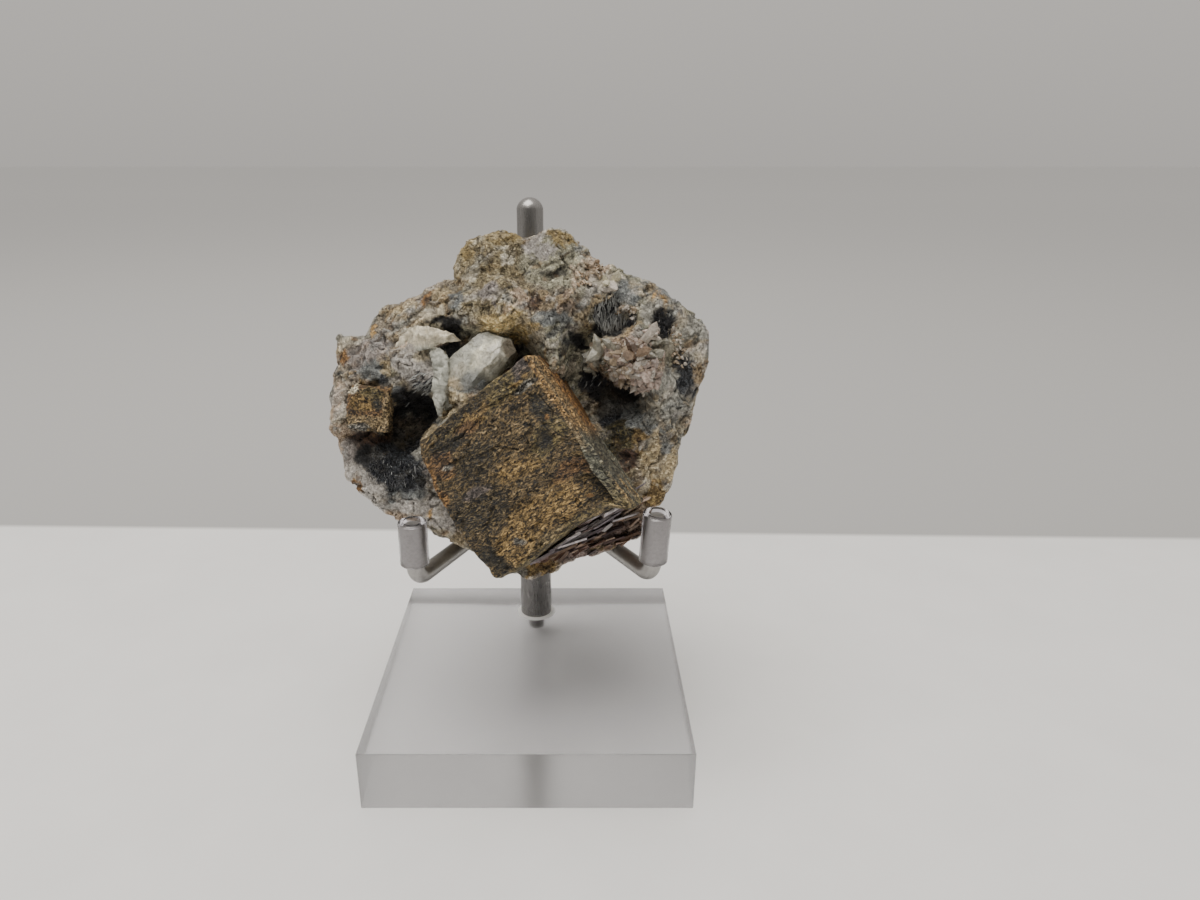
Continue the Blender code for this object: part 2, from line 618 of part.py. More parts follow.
def make_matrix():
    bm = bmesh.new()
    across, up = MATRIX_GRID
    bmesh.ops.create_uvsphere(bm, u_segments=across, v_segments=up, radius=1.0)
    bm.verts.ensure_lookup_table()
    directions = np.array([vert.co.normalized() for vert in bm.verts])
    for vert, place in zip(bm.verts, matrix_shape(directions)):
        vert.co = place
    made = object_of(bm, "matrix", PART, "matrix")
    thin = made.modifiers.new("fewer_faces", "DECIMATE")
    triangles = sum(len(face.vertices) - 2 for face in made.data.polygons)
    thin.ratio = MATRIX_FACES / triangles
    take_modifiers(made)
    grown = [quartz_lens(), blade_mesh()] + [crystal(*one) for one in DRUSE]
    for i, shape in enumerate(grown):
        boolean(made, cutter(shape, f"crystal_{i}"), "UNION")
    for cube in (LARGE_CUBE, SMALL_CUBE):
        pocket = cube_mesh(cube, POCKET_CUTS, POCKET_GAP)
        bmesh.ops.transform(pocket, matrix=cube_frame(cube), verts=pocket.verts)
        boolean(made, cutter(pocket, "pocket"), "DIFFERENCE")
    made.data.transform(specimen_frame_metres())
    low, high = (0.0, POST_Y, GROOVE_START), (0.0, POST_Y, ROD_TOP + CUT_PAST)
    rod = rod_mesh(ROD_RADIUS + GAP, low, high, FINE_STEPS)
    boolean(made, cutter(rod, "rod_groove"), "DIFFERENCE")
    for side in ARMS:
        points, _ = arm_points(side)
        groove = rod_mesh(ARM_RADIUS + GAP, points[0], points[1], FINE_STEPS)
        boolean(made, cutter(groove, f"{side}_arm_groove"), "DIFFERENCE")
    round_off(made, MATRIX_SMOOTH)


clear_scene()
PART = collection(OBJECT)
CUTTERS = collection("cutters")
make_base()
make_post()
make_back_rod()
make_collar()
make_arms()
make_matrix()
make_cube("limonite_cube_large", LARGE_CUBE, LARGE_CUBE_CUTS, "limonite", rim=True)
make_cube("limonite_cube_small", SMALL_CUBE, SMALL_CUBE_CUTS, "limonite_pale", rim=False)
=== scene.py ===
"""The looks of a limonite pseudomorph after pyrite on its matrix, on a steel and acrylic stand.

Places on the specimen are in millimetres in its own frame: u to the right, v up its face and w out
of its face. A cube's places are in its own frame too, with z out of its front face. The rest is in
the world, with +Z up and the front facing -Y.
"""

import math

import bmesh
import bpy
import numpy as np
from mathutils import Matrix, Vector


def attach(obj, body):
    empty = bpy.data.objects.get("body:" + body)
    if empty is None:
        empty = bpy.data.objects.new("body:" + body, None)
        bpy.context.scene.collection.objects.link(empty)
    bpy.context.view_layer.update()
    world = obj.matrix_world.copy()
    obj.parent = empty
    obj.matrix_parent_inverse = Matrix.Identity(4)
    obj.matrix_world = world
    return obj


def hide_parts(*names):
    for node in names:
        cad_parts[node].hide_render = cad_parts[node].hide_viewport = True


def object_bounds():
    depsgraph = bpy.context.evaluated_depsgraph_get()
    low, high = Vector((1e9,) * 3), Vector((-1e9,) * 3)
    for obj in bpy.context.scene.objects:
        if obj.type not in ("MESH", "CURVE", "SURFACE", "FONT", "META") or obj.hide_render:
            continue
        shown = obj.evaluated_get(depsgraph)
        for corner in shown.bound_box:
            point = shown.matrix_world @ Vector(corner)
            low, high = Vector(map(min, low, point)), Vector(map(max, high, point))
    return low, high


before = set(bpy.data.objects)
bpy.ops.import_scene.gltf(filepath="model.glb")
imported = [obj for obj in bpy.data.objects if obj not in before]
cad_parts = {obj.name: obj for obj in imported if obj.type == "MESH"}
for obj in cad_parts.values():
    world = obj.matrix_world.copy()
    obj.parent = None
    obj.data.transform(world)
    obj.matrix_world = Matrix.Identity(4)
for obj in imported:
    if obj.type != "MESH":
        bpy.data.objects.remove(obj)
cad_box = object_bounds()

MM = 0.001

# The camera, fitted to the corners of the acrylic base in the photograph
IMAGE_WIDTH, IMAGE_HEIGHT = 1200, 900
CAMERA_PLACE = (9.26, -180.11, 132.52)
CAMERA_PITCH = 20.68  # degrees below level
FOCAL_PIXELS = 867.3
PRINCIPAL_POINT = (571.1, 463.2)
SENSOR_WIDTH = 36.0

# The stand
BASE_SIDE = 70.0
BASE_HEIGHT = 14.0
BASE_AIR = 0.03  # between the base and the floor
POST_Y = 22.4
POST_RADIUS = 4.0
POST_TOP = 58.0
STUD_RADIUS = 2.0
STUD_LENGTH = 9.5
SOCKET_DEPTH = 6.0
ROD_RADIUS = 3.0
ROD_TOP = 119.7
ROD_DOME = 2.4
COLLAR_RADIUS = 7.0
COLLAR_HEIGHT = 8.0
ARM_RADIUS = 1.75
ARM_HEIGHT = 48.5
ARM_START = 5.2
ARM_BEND = 3.2
SLEEVE_RADIUS = 2.9
SLEEVE_START = 52.0
SLEEVE_RIM = 0.6
ARMS = {
    "left": {"foot": (-22.1, -24.2), "top": 61.4, "lean": 0.0},
    "right": {"foot": (25.7, -22.4), "top": 62.9, "lean": 5.0},
}
GAP = 0.3
TURN_STEPS = 96

SPECIMEN_PLACE = (-0.9, -3.6, 79.1)
SPECIMEN_LEAN = 20.7

# The specimen's outline, clockwise from its upper left corner, as (u, v).
OUTLINE = [
    (-38.8, 14.4), (-33.5, 14.8), (-32.5, 16.8), (-27.8, 21.2), (-21.9, 22.7), (-18.7, 25.0),
    (-14.6, 26.5), (-14.4, 29.1), (-13.2, 32.5), (-11.2, 34.4), (-7.9, 36.3), (-4.7, 36.9),
    (-2.6, 36.1), (0.2, 35.0), (2.3, 35.6), (6.4, 36.9), (8.9, 36.3), (11.5, 34.4),
    (14.4, 31.8), (17.0, 29.1), (18.9, 29.7), (20.4, 28.6), (22.9, 26.9), (27.6, 25.9),
    (30.8, 23.3), (34.2, 20.4), (38.2, 16.5), (39.2, 13.6), (39.0, 9.1), (38.0, 5.3),
    (36.5, 2.3), (35.4, -2.3), (33.9, -6.8), (33.1, -9.8), (32.2, -14.2), (30.8, -17.6),
    (29.1, -21.2), (25.5, -22.7), (24.8, -28.2), (21.2, -28.6), (18.9, -30.3), (13.8, -31.8),
    (10.4, -32.7), (8.3, -33.5), (6.4, -35.4), (2.3, -36.6), (-1.7, -35.6), (-5.5, -34.2),
    (-8.9, -32.4), (-11.2, -30.6), (-15.7, -28.4), (-19.3, -26.7), (-21.9, -25.2),
    (-25.5, -24.2), (-30.3, -21.9), (-34.6, -18.7), (-37.1, -15.9), (-38.2, -11.5),
    (-39.0, -7.9), (-40.5, -5.1), (-40.3, 0.0), (-39.9, 3.6), (-39.0, 8.5),
]

# How far the face stands out at each form, as (u, v, w, reach). A form owns the ground near it,
# and more of it the greater its reach.
FACE_FORMS = [
    # The granular knob at the top left, and the ochre ledge below it
    (-8.0, 30.5, 4.5, 3.0), (-11.5, 27.0, 6.0, 2.0), (-3.5, 33.0, 3.5, 2.0),
    (-11.0, 19.0, 9.0, 2.5), (-4.5, 19.5, 10.0, 2.5), (1.5, 17.0, 10.0, 2.5), (4.5, 13.2, 9.0, 1.0),
    # The pale knob at the top right, and the band below it
    (8.0, 31.5, 4.5, 3.0), (13.0, 27.5, 5.0, 2.0), (4.5, 26.5, 7.0, 2.0), (1.5, 30.5, 2.5, 0.5),
    (8.0, 20.0, 8.5, 3.0), (14.0, 22.5, 7.0, 2.0), (11.0, 15.5, 6.5, 1.5),
    # The upper left slope
    (-17.5, 21.0, 6.5, 1.5), (-25.5, 16.0, 6.5, 2.5), (-30.0, 18.0, 3.5, 1.0),
    (-35.5, 11.5, 4.0, 1.5), (-35.5, 6.5, 5.5, 1.5), (-29.5, 10.5, 6.5, 2.0),
    (-22.5, 8.5, 8.0, 2.0), (-25.0, 4.0, 6.5, 1.5), (-18.5, 9.5, 7.2, 1.2), (-18.8, 5.5, 6.8, 1.0),
    # The seat of the small cube and the shell round it
    (-32.5, -1.0, 2.0, 2.5), (-38.0, -1.0, 9.0, 1.2), (-32.5, -8.0, 1.0, 1.5),
    # The left vug, and the gaps above the quartz
    (-23.5, -4.0, -7.0, 2.5), (-25.5, -7.5, -6.0, 1.5), (-20.0, -0.5, -4.0, 1.0),
    (-16.8, 9.5, 0.0, 0.5), (-13.5, 12.8, 1.0, 0.2), (-0.3, 12.0, -3.0, 0.8),
    # The ground between the vug and the large cube, and under the quartz
    (-16.0, 4.5, 6.5, 1.0), (-11.0, 2.0, 7.5, 1.5), (-14.0, -3.5, 6.5, 1.0),
    (-7.5, 10.5, 5.0, 2.0), (-20.0, -7.5, 4.0, 0.5),
    # The lower left, down to its glassy rim and the pale wedge by the cube
    (-30.0, -12.0, 4.5, 2.0), (-24.0, -13.5, 5.5, 2.0), (-34.5, -10.0, 2.5, 0.5),
    (-34.5, -15.5, 3.5, 1.0), (-29.0, -19.5, 4.5, 1.5), (-21.5, -20.5, 5.5, 1.0),
    (-16.5, -25.0, 6.5, 1.0),
    # Under the large cube
    (-2.0, -14.0, 2.0, 6.0), (-12.0, -26.0, 4.0, 1.0),
    # The right shoulder
    (18.5, 17.0, 3.0, 1.0), (24.0, 21.5, 6.0, 2.0), (29.5, 19.5, 6.0, 2.0), (34.5, 15.0, 4.0, 1.5),
    # The druse, the vug below it and the pits beside it
    (23.0, 8.0, 11.0, 2.0), (19.0, 11.5, 8.0, 1.0), (27.0, 4.0, 11.0, 1.5), (26.5, 11.5, 8.5, 1.0),
    (18.5, 1.0, -5.0, 2.0), (22.5, 0.5, -3.0, 1.0), (15.5, 4.5, -2.0, 1.0), (11.8, 13.0, -1.0, 0.3),
    # Down the right side
    (33.5, 7.0, 4.5, 1.5), (33.0, 1.5, 4.0, 1.5), (25.0, -4.0, 4.5, 1.5), (30.5, -7.5, 3.5, 1.5),
    (29.5, -12.5, 3.0, 1.5), (28.0, -18.0, 3.0, 1.5), (18.5, -7.5, 2.5, 1.0), (22.0, -12.0, 4.0, 1.5),
    (26.0, -20.5, 3.0, 0.5),
    # The flaky ledge and the brown lump under the cube
    (16.5, -27.0, 8.0, 2.0), (10.5, -30.0, 7.0, 1.5), (22.5, -24.5, 8.0, 1.5), (2.0, -34.5, 2.0, 1.0),
]

# How far the back stands out, in the same way.
BACK_FORMS = [
    (-7.5, 30.0, 8.0, 2.0), (8.5, 30.0, 9.0, 2.0), (0.0, 22.5, 17.5, 4.0), (-18.0, 18.0, 12.0, 2.0),
    (20.0, 18.0, 13.0, 2.0), (-32.0, 8.0, 8.5, 2.0), (33.0, 8.0, 9.5, 2.0), (-16.0, 2.0, 19.0, 4.0),
    (12.0, 4.0, 21.0, 4.0), (-30.0, -9.0, 12.0, 3.0), (28.0, -9.0, 13.0, 3.0), (-2.0, -12.0, 23.0, 4.0),
    (-15.0, -20.0, 18.0, 2.0), (14.0, -22.0, 18.0, 2.0), (0.0, -30.0, 16.0, 2.0),
]
FORM_BLEND = 4.5  # mm squared: small is sharp
SIDE_STEEPNESS = 0.5
UNDERSIDE_STEEPNESS = 1.0
FACET_SIZES = ((8.0, 1.0), (3.6, 0.45))  # the broken stone's facets: how wide, and how far they stand
MATRIX_VOXEL = 0.34
MATRIX_TRIANGLES = 190000
CUBE_TRIANGLES = 140000
SMALL_CUBE_TRIANGLES = 36000

LARGE_CUBE = {
    "size": (30.8, 34.4, 19.0), "place": (-0.9, -14.0, 13.3), "turn": 30.7, "tilt": (-11.0, -6.0),
    "edge": 1.1,
}
SMALL_CUBE = {
    "size": (8.2, 9.0, 9.0), "place": (-31.1, -1.3, 8.0), "turn": -3.0, "tilt": (6.0, 4.0),
    "edge": 0.5,
}

# What the rock is made of, with colours in sRGB: the ground colour, the light flecks, the dark
# flecks, then the shares of light and dark flecks, the roughness, and how grainy and how broken
# into flat facets it is.
ROCKS = {
    "mottled": ((139, 128, 111), (206, 194, 171), (68, 61, 53), 0.36, 0.36, 0.75, 0.3, 0.8),
    "lilac_grey": ((132, 125, 119), (187, 179, 172), (67, 61, 60), 0.34, 0.30, 0.5, 0.0, 0.5),
    "olive_grain": ((140, 127, 97), (201, 189, 153), (67, 55, 38), 0.36, 0.34, 0.85, 0.8, 0.5),
    "ochre_rim": ((142, 124, 84), (189, 171, 124), (74, 60, 36), 0.32, 0.30, 0.9, 0.8, 0.4),
    "ochre_grain": ((200, 175, 119), (236, 218, 170), (118, 92, 50), 0.38, 0.24, 0.85, 0.9, 0.3),
    "cream": ((198, 190, 168), (234, 227, 208), (116, 107, 90), 0.38, 0.22, 0.6, 0.1, 0.5),
    "pink_tan": ((182, 161, 138), (226, 207, 183), (92, 71, 55), 0.36, 0.30, 0.8, 0.5, 0.5),
    "orange": ((184, 148, 94), (218, 187, 134), (119, 87, 47), 0.3, 0.24, 0.85, 0.5, 0.4),
    "sand": ((191, 173, 137), (228, 214, 178), (110, 89, 60), 0.36, 0.30, 0.85, 0.8, 0.3),
    "rust": ((126, 94, 56), (171, 134, 88), (60, 38, 22), 0.32, 0.34, 0.85, 0.5, 0.4),
    "rust_pale": ((146, 127, 100), (183, 165, 134), (82, 65, 47), 0.3, 0.3, 0.8, 0.3, 0.5),
    "blue_grey": ((108, 112, 112), (171, 175, 171), (44, 47, 51), 0.30, 0.34, 0.34, 0.0, 0.4),
    "grey": ((150, 148, 138), (201, 199, 187), (74, 74, 71), 0.34, 0.30, 0.5, 0.1, 0.65),
    # Black is both the real black rock of the fibre tufts and painted shade in the vugs, pits and gaps.
    "black_and_painted_shade": ((24, 24, 26), (61, 61, 62), (6, 6, 7), 0.10, 0.4, 0.45, 0.0, 0.6),
    "blue_black": ((32, 34, 39), (105, 110, 114), (8, 9, 12), 0.22, 0.42, 0.16, 0.0, 0.55),
    "brown_grain": ((130, 108, 70), (185, 161, 110), (51, 36, 22), 0.34, 0.36, 0.85, 0.8, 0.4),
    "dark_red": ((66, 47, 38), (114, 86, 65), (22, 15, 12), 0.24, 0.4, 0.6, 0.3, 0.6),
    "lilac_white": ((168, 163, 155), (210, 205, 198), (103, 98, 95), 0.36, 0.26, 0.26, 0.0, 0.22),
    "grey_tan": ((158, 149, 128), (204, 193, 169), (85, 78, 64), 0.34, 0.30, 0.65, 0.2, 0.7),
    "grey_green": ((144, 141, 120), (197, 193, 169), (67, 65, 53), 0.36, 0.34, 0.7, 0.3, 0.7),
    "sparkle": ((38, 40, 34), (161, 148, 102), (10, 11, 9), 0.28, 0.42, 0.3, 0.6, 0.6),
    "purple": ((112, 92, 82), (189, 171, 163), (40, 26, 21), 0.32, 0.34, 0.5, 0.2, 0.7),
}

# What the back and the sides show, by how much of the ground each takes
BACK_ROCKS = ("grey", "mottled", "grey_tan", "olive_grain", "blue_grey", "pink_tan", "grey_green")

# Where the face shows each rock: the rock, its middle (u, v), its half widths and its turn in
# degrees. A later patch lies over an earlier one.
FACE_ROCKS = [
    ("mottled", -22.0, 18.7, 9.8, 6.2, 30), ("lilac_grey", -30.9, 9.7, 6.2, 3.8, 0),
    ("olive_grain", -6.4, 29.9, 8.1, 6.4, 0), ("ochre_rim", -4.6, 35.1, 4.2, 1.5, 0),
    ("ochre_rim", -12.1, 31.7, 1.4, 2.5, 0), ("cream", -3.1, 29.5, 1.5, 1.5, 0),
    ("cream", -10.6, 26.5, 2.1, 1.2, 0), ("lilac_grey", -6.9, 21.4, 2.4, 2.2, 0),
    ("pink_tan", -0.5, 20.0, 2.8, 2.8, 0), ("olive_grain", -8.1, 18.5, 4.8, 2.4, -20),
    ("ochre_grain", -1.8, 15.7, 6.6, 2.9, -10), ("ochre_grain", 1.5, 14.9, 1.9, 2.3, 0),
    ("orange", -31.3, 15.0, 1.1, 1.4, 45), ("sand", -24.9, 20.1, 2.5, 1.4, 25),
    ("rust", -20.3, 21.5, 1.6, 1.2, 25), ("sand", -16.8, 23.1, 2.3, 1.2, 20),
    ("blue_grey", -13.6, 21.4, 1.6, 1.8, 0), ("cream", -18.9, 19.0, 3.5, 1.6, 10),
    ("grey", -26.1, 16.4, 2.0, 1.8, 0), ("pink_tan", -22.4, 12.6, 3.1, 1.4, 20),
    # The black here is painted shade in the gap by the white blade's arch.
    ("black_and_painted_shade", -15.9, 15.8, 3.8, 2.7, -25), ("blue_black", -16.1, 16.6, 1.7, 1.4, -20),
    ("cream", -19.1, 14.6, 6.0, 1.8, 12), ("pink_tan", -20.2, 12.4, 6.8, 1.1, 15),
    ("lilac_white", -21.4, 7.6, 4.2, 4.6, 20), ("cream", -20.0, 10.2, 2.4, 1.2, 10),
    # The black at (-16.2, 9.7) is painted shade in the gap above the quartz.
    ("black_and_painted_shade", -16.2, 9.7, 2.0, 3.2, 0), ("rust", -36.8, 10.0, 1.0, 2.0, 0),
    ("brown_grain", -34.4, 5.2, 2.4, 1.9, 0), ("blue_grey", -30.6, 6.5, 3.3, 1.9, 0),
    ("blue_black", -28.6, 4.8, 1.3, 1.1, 0), ("sand", -27.1, 7.3, 1.1, 1.8, 0),
    ("sand", -27.4, 0.8, 0.8, 2.9, 0), ("pink_tan", -38.2, -1.9, 1.5, 5.6, 0),
    # The dark red strip under the small cube is painted shadow.
    ("dark_red", -32.4, -7.3, 4.8, 1.9, 0), ("blue_grey", -25.0, 0.7, 2.4, 2.6, 45),
    # The black here is painted shade in the left vug.
    ("black_and_painted_shade", -23.9, -3.1, 5.3, 6.4, -20), ("cream", -16.8, 4.5, 1.7, 6.8, -8),
    ("sand", -19.1, -6.4, 2.5, 2.7, 45), ("blue_grey", -10.4, 4.2, 4.0, 2.6, 35), ("dark_red", -3.2, 8.4, 1.7, 3.4, -35),
    # The black on this line and the next is painted shade in the gaps by the white blade.
    ("cream", -13.6, 5.1, 1.4, 3.7, -20), ("black_and_painted_shade", -14.6, 16.2, 2.2, 2.2, -30),
    ("black_and_painted_shade", -14.8, 11.0, 1.5, 3.2, 10), ("sand", -13.5, -0.8, 3.5, 3.0, 35),
    ("lilac_grey", -36.3, -10.8, 2.3, 3.3, 0), ("blue_black", -26.0, -13.8, 7.4, 6.4, 0),
    ("black_and_painted_shade", -33.5, -10.8, 2.5, 2.1, 0), ("blue_black", -24.2, -13.8, 3.3, 2.5, 0),
    ("grey", -21.6, -10.4, 2.0, 1.2, 0), ("lilac_grey", -19.8, -13.6, 0.9, 3.4, 0),
    ("blue_grey", -24.3, -18.6, 3.6, 1.2, 0), ("lilac_white", -32.4, -17.2, 6.8, 2.7, -50),
    ("rust", -35.1, -16.8, 1.4, 1.6, -45), ("lilac_white", -22.6, -21.2, 4.9, 1.5, -8),
    ("lilac_white", -16.5, -23.5, 4.7, 4.2, -35), ("orange", -19.2, -23.1, 0.8, 0.9, 0),
    ("grey_tan", -15.0, -28.8, 5.8, 1.8, -33), ("grey_green", 5.6, 29.3, 6.4, 6.4, 0),
    ("lilac_white", 1.8, 33.2, 2.6, 1.3, 50), ("lilac_white", 5.2, 32.4, 2.8, 1.2, 15), ("grey_green", 9.0, 28.8, 3.0, 5.0, 0),
    ("ochre_rim", 8.1, 34.8, 3.5, 1.3, -15), ("pink_tan", 14.2, 27.4, 3.0, 4.6, -45),
    ("cream", 17.8, 25.0, 2.7, 3.5, 45), ("blue_grey", 21.9, 22.6, 3.3, 3.1, 0),
    ("grey_tan", 25.6, 23.6, 4.1, 2.1, -20), ("orange", 28.4, 22.2, 1.4, 1.2, -30),
    ("pink_tan", 6.3, 20.2, 5.3, 2.1, 0), ("dark_red", 2.7, 19.6, 1.2, 1.8, 0),
    ("blue_grey", 6.4, 16.8, 4.8, 1.6, -5), ("grey_green", 6.5, 11.5, 5.1, 4.2, 0),
    # The black at (11.8, 13.3) and (8.2, 9.7) is painted shade in pits; the black at the fibre tufts is real
    # black rock.
    ("cream", 2.9, 12.9, 1.9, 2.0, 0), ("black_and_painted_shade", 11.8, 13.3, 1.6, 1.7, 0),
    ("black_and_painted_shade", 8.2, 9.7, 0.9, 0.8, 0), ("black_and_painted_shade", 18.0, 17.4, 3.2, 3.6, 0),
    ("black_and_painted_shade", 22.5, 17.1, 1.3, 1.7, 0), ("cream", 21.7, 19.0, 1.9, 1.3, -20),
    ("grey_green", 15.0, 11.4, 2.1, 3.4, 0), ("pink_tan", 22.8, 7.7, 6.8, 6.6, 0),
    ("grey", 28.0, 18.5, 3.7, 3.5, 0), ("black_and_painted_shade", 29.4, 16.2, 2.0, 3.7, 10),
    ("cream", 32.3, 13.6, 2.0, 3.3, 0), ("grey", 36.2, 14.7, 2.6, 4.4, 0),
    # The black on this line is painted shade in the right vug.
    ("black_and_painted_shade", 20.2, 2.4, 7.6, 2.3, -10), ("black_and_painted_shade", 14.2, 5.2, 2.6, 3.0, 0), ("grey", 30.9, 2.1, 4.6, 5.6, 20),
    ("blue_black", 34.1, 6.2, 2.4, 4.7, 10), ("rust_pale", 37.4, 6.7, 1.3, 4.3, 5),
    ("blue_black", 19.6, -2.6, 5.0, 3.6, -30), ("blue_grey", 24.6, -3.4, 3.6, 3.9, 10),
    ("grey", 27.0, 0.0, 2.4, 2.2, 0),
    ("sand", 29.2, -11.5, 4.6, 5.6, 0), ("blue_grey", 29.9, -8.2, 1.4, 2.8, 10),
    ("grey_tan", 33.0, -7.5, 1.6, 5.0, 15), ("brown_grain", 27.9, -18.5, 2.5, 3.0, 0),
    ("brown_grain", 22.9, -9.0, 2.5, 3.5, -30), ("sparkle", 19.6, -7.8, 3.3, 4.7, -45),
    ("dark_red", 21.9, -11.9, 2.0, 2.3, -45), ("cream", 24.9, -18.8, 1.4, 3.8, -30),
    ("purple", 14.5, -27.1, 10.7, 5.3, 25), ("brown_grain", 3.0, -34.6, 5.2, 2.7, 0),
]
FACET_TONE = 0.13  # how much lighter or darker one broken facet is than the next
ROCK_EDGE = 0.12  # how soft a patch's edge is, over its half width


# Helpers for numbers


# Streaks of other rock: what they are, how much they cover and over what noise; and the rocks that
# they run through less
STREAKS = [
    ("cream", 0.75, 0.28), ("blue_grey", 0.7, 0.26), ("brown_grain", 0.65, 0.32),
    ("black_and_painted_shade", 0.75, 0.50), ("lilac_white", 0.6, 0.34), ("rust", 0.5, 0.44),
]
STREAK_TURN = np.array([(0.82, 0.57, 0.0), (-0.57, 0.82, 0.0), (0.0, 0.0, 1.0)]).T
VEINS_IN = {
    "black_and_painted_shade": 0.05, "blue_black": 0.1, "dark_red": 0.3, "ochre_grain": 0.4, "ochre_rim": 0.3,
    "sparkle": 0.4, "olive_grain": 0.6, "lilac_white": 0.3, "cream": 0.5, "blue_grey": 0.35,
    "lilac_grey": 0.55, "sand": 0.5, "grey": 0.8,
}
def srgb(colour):
    """Linear values of a colour given in sRGB from 0 to 255."""
    shares = np.asarray(colour, float) / 255.0
    return np.where(shares <= 0.04045, shares / 12.92, ((shares + 0.055) / 1.055) ** 2.4)


def lattice(cells, seed):
    """A number from -1 to 1 for each whole (x, y, z)."""
    x, y, z = (cells[..., i].astype(np.int64) for i in range(3))
    mixed = (x * 374761393 + y * 668265263 + z * 1274126177 + seed * 974711) & 0xFFFFFFFF
    mixed = ((mixed ^ (mixed >> 13)) * 1274126177) & 0xFFFFFFFF
    return ((mixed ^ (mixed >> 16)) & 0xFFFF) / 32767.5 - 1.0


def noise(points, scale, seed):
    """Smooth noise from -1 to 1 with lumps about scale wide."""
    places = np.asarray(points, float) / scale
    cells = np.floor(places)
    part = places - cells
    part = part * part * (3.0 - 2.0 * part)
    total = np.zeros(len(places))
    for corner in np.ndindex(2, 2, 2):
        weight = np.prod(np.where(corner, part, 1.0 - part), axis=1)
        total += weight * lattice(cells + corner, seed)
    return total


def outline_radius(angles):
    """How far the outline lies from the middle in each direction."""
    spots = np.array(OUTLINE)
    ways = np.arctan2(spots[:, 1], spots[:, 0])
    order = np.argsort(ways)
    return np.interp(angles, ways[order], np.hypot(*spots.T)[order], period=2 * math.pi)


def blended(forms, places):
    """The height that a list of forms gives at each place, each form owning the ground near it."""
    table = np.array(forms)
    spread = ((places[:, None, :] - table[None, :, :2]) ** 2).sum(axis=2)
    claim = -(spread - table[None, :, 3] ** 2) / (2 * FORM_BLEND)
    claim = np.exp(claim - claim.max(axis=1, keepdims=True))
    return (claim * table[None, :, 2]).sum(axis=1) / claim.sum(axis=1)


def layered(points, scale, seed, layers=3):
    """Noise with finer noise on it, from about -1 to 1."""
    total = np.zeros(len(points))
    for step in range(layers):
        total += noise(points, scale / 2**step, seed + 17 * step) * 0.55**step
    return total / 1.5


def cells(points, size, seed):
    """For each point: how far the nearest grain's middle is, that grain's number from -1 to 1, and
    the height of its tilted flat face."""
    places = np.asarray(points, float) / size
    corner = np.floor(places)
    nearest = np.full(len(places), np.inf)
    number = np.zeros(len(places))
    height = np.zeros(len(places))
    for step in np.ndindex(3, 3, 3):
        cell = corner + step - 1.0
        jitter = np.stack([lattice(cell, seed + axis) for axis in range(3)], axis=1)
        away = places - (cell + 0.5 + jitter * 0.45)
        distance = (away**2).sum(axis=1)
        closer = distance < nearest
        tilt = np.stack([lattice(cell, seed + 3 + axis) for axis in range(3)], axis=1)
        own = lattice(cell, seed + 6)
        height = np.where(closer, (away * tilt).sum(axis=1) * 1.4 + own * 0.5, height)
        number = np.where(closer, own, number)
        nearest = np.minimum(distance, nearest)
    return np.sqrt(nearest), number, np.clip(height, -1.0, 1.0)


def smooth_step(low, high, values):
    share = np.clip((values - low) / (high - low), 0.0, 1.0)
    return share * share * (3.0 - 2.0 * share)


# Helpers for meshes


def link(name, mesh):
    made = bpy.data.objects.new(name, mesh)
    bpy.context.scene.collection.objects.link(made)
    return made


def object_from(name, places, faces, smooth=True):
    """An object from places in metres and faces of corner numbers."""
    mesh = bpy.data.meshes.new(name)
    mesh.from_pydata(np.asarray(places).tolist(), [], [tuple(map(int, face)) for face in faces])
    if smooth:
        mesh.shade_smooth()
    return link(name, mesh)


def object_from_bmesh(name, bm, smooth=True):
    """An object from a bmesh in millimetres."""
    bmesh.ops.scale(bm, vec=(MM, MM, MM), verts=bm.verts)
    mesh = bpy.data.meshes.new(name)
    bm.to_mesh(mesh)
    bm.free()
    if smooth:
        mesh.shade_smooth()
    return link(name, mesh)


def places_of(made):
    flat = np.empty(len(made.data.vertices) * 3)
    made.data.vertices.foreach_get("co", flat)
    return flat.reshape(-1, 3)


def set_places(made, places):
    made.data.vertices.foreach_set("co", np.asarray(places, float).ravel())
    made.data.update()


def normals_of(made):
    flat = np.empty(len(made.data.vertices) * 3)
    made.data.vertices.foreach_get("normal", flat)
    return flat.reshape(-1, 3)


def take_modifiers(made):
    graph = bpy.context.evaluated_depsgraph_get()
    mesh = bpy.data.meshes.new_from_object(made.evaluated_get(graph))
    made.modifiers.clear()
    made.data = mesh


def triangle_count(made):
    return sum(len(face.vertices) - 2 for face in made.data.polygons)


def thin_to(made, triangles):
    """Collapses the flattest faces until about this many triangles are left."""
    count = triangle_count(made)
    if count > triangles:
        step = made.modifiers.new("thin", "DECIMATE")
        step.ratio = triangles / count
        take_modifiers(made)
    made.data.shade_smooth()


def give(made, name, values):
    """Stores a colour or four numbers at each vertex."""
    values = np.asarray(values, float)
    if values.shape[1] == 3:
        values = np.concatenate([values, np.ones((len(values), 1))], axis=1)
    layer = made.data.attributes.new(name, "FLOAT_COLOR", "POINT")
    layer.data.foreach_set("color", values.ravel())


def give_place(made, name, values):
    layer = made.data.attributes.new(name, "FLOAT_VECTOR", "POINT")
    layer.data.foreach_set("vector", np.asarray(values, float).ravel())


def taken_place(made):
    """Reads the places stored at the vertices and drops them."""
    layer = made.data.attributes["own_place"]
    flat = np.empty(len(made.data.vertices) * 3)
    layer.data.foreach_get("vector", flat)
    made.data.attributes.remove(layer)
    return flat.reshape(-1, 3)


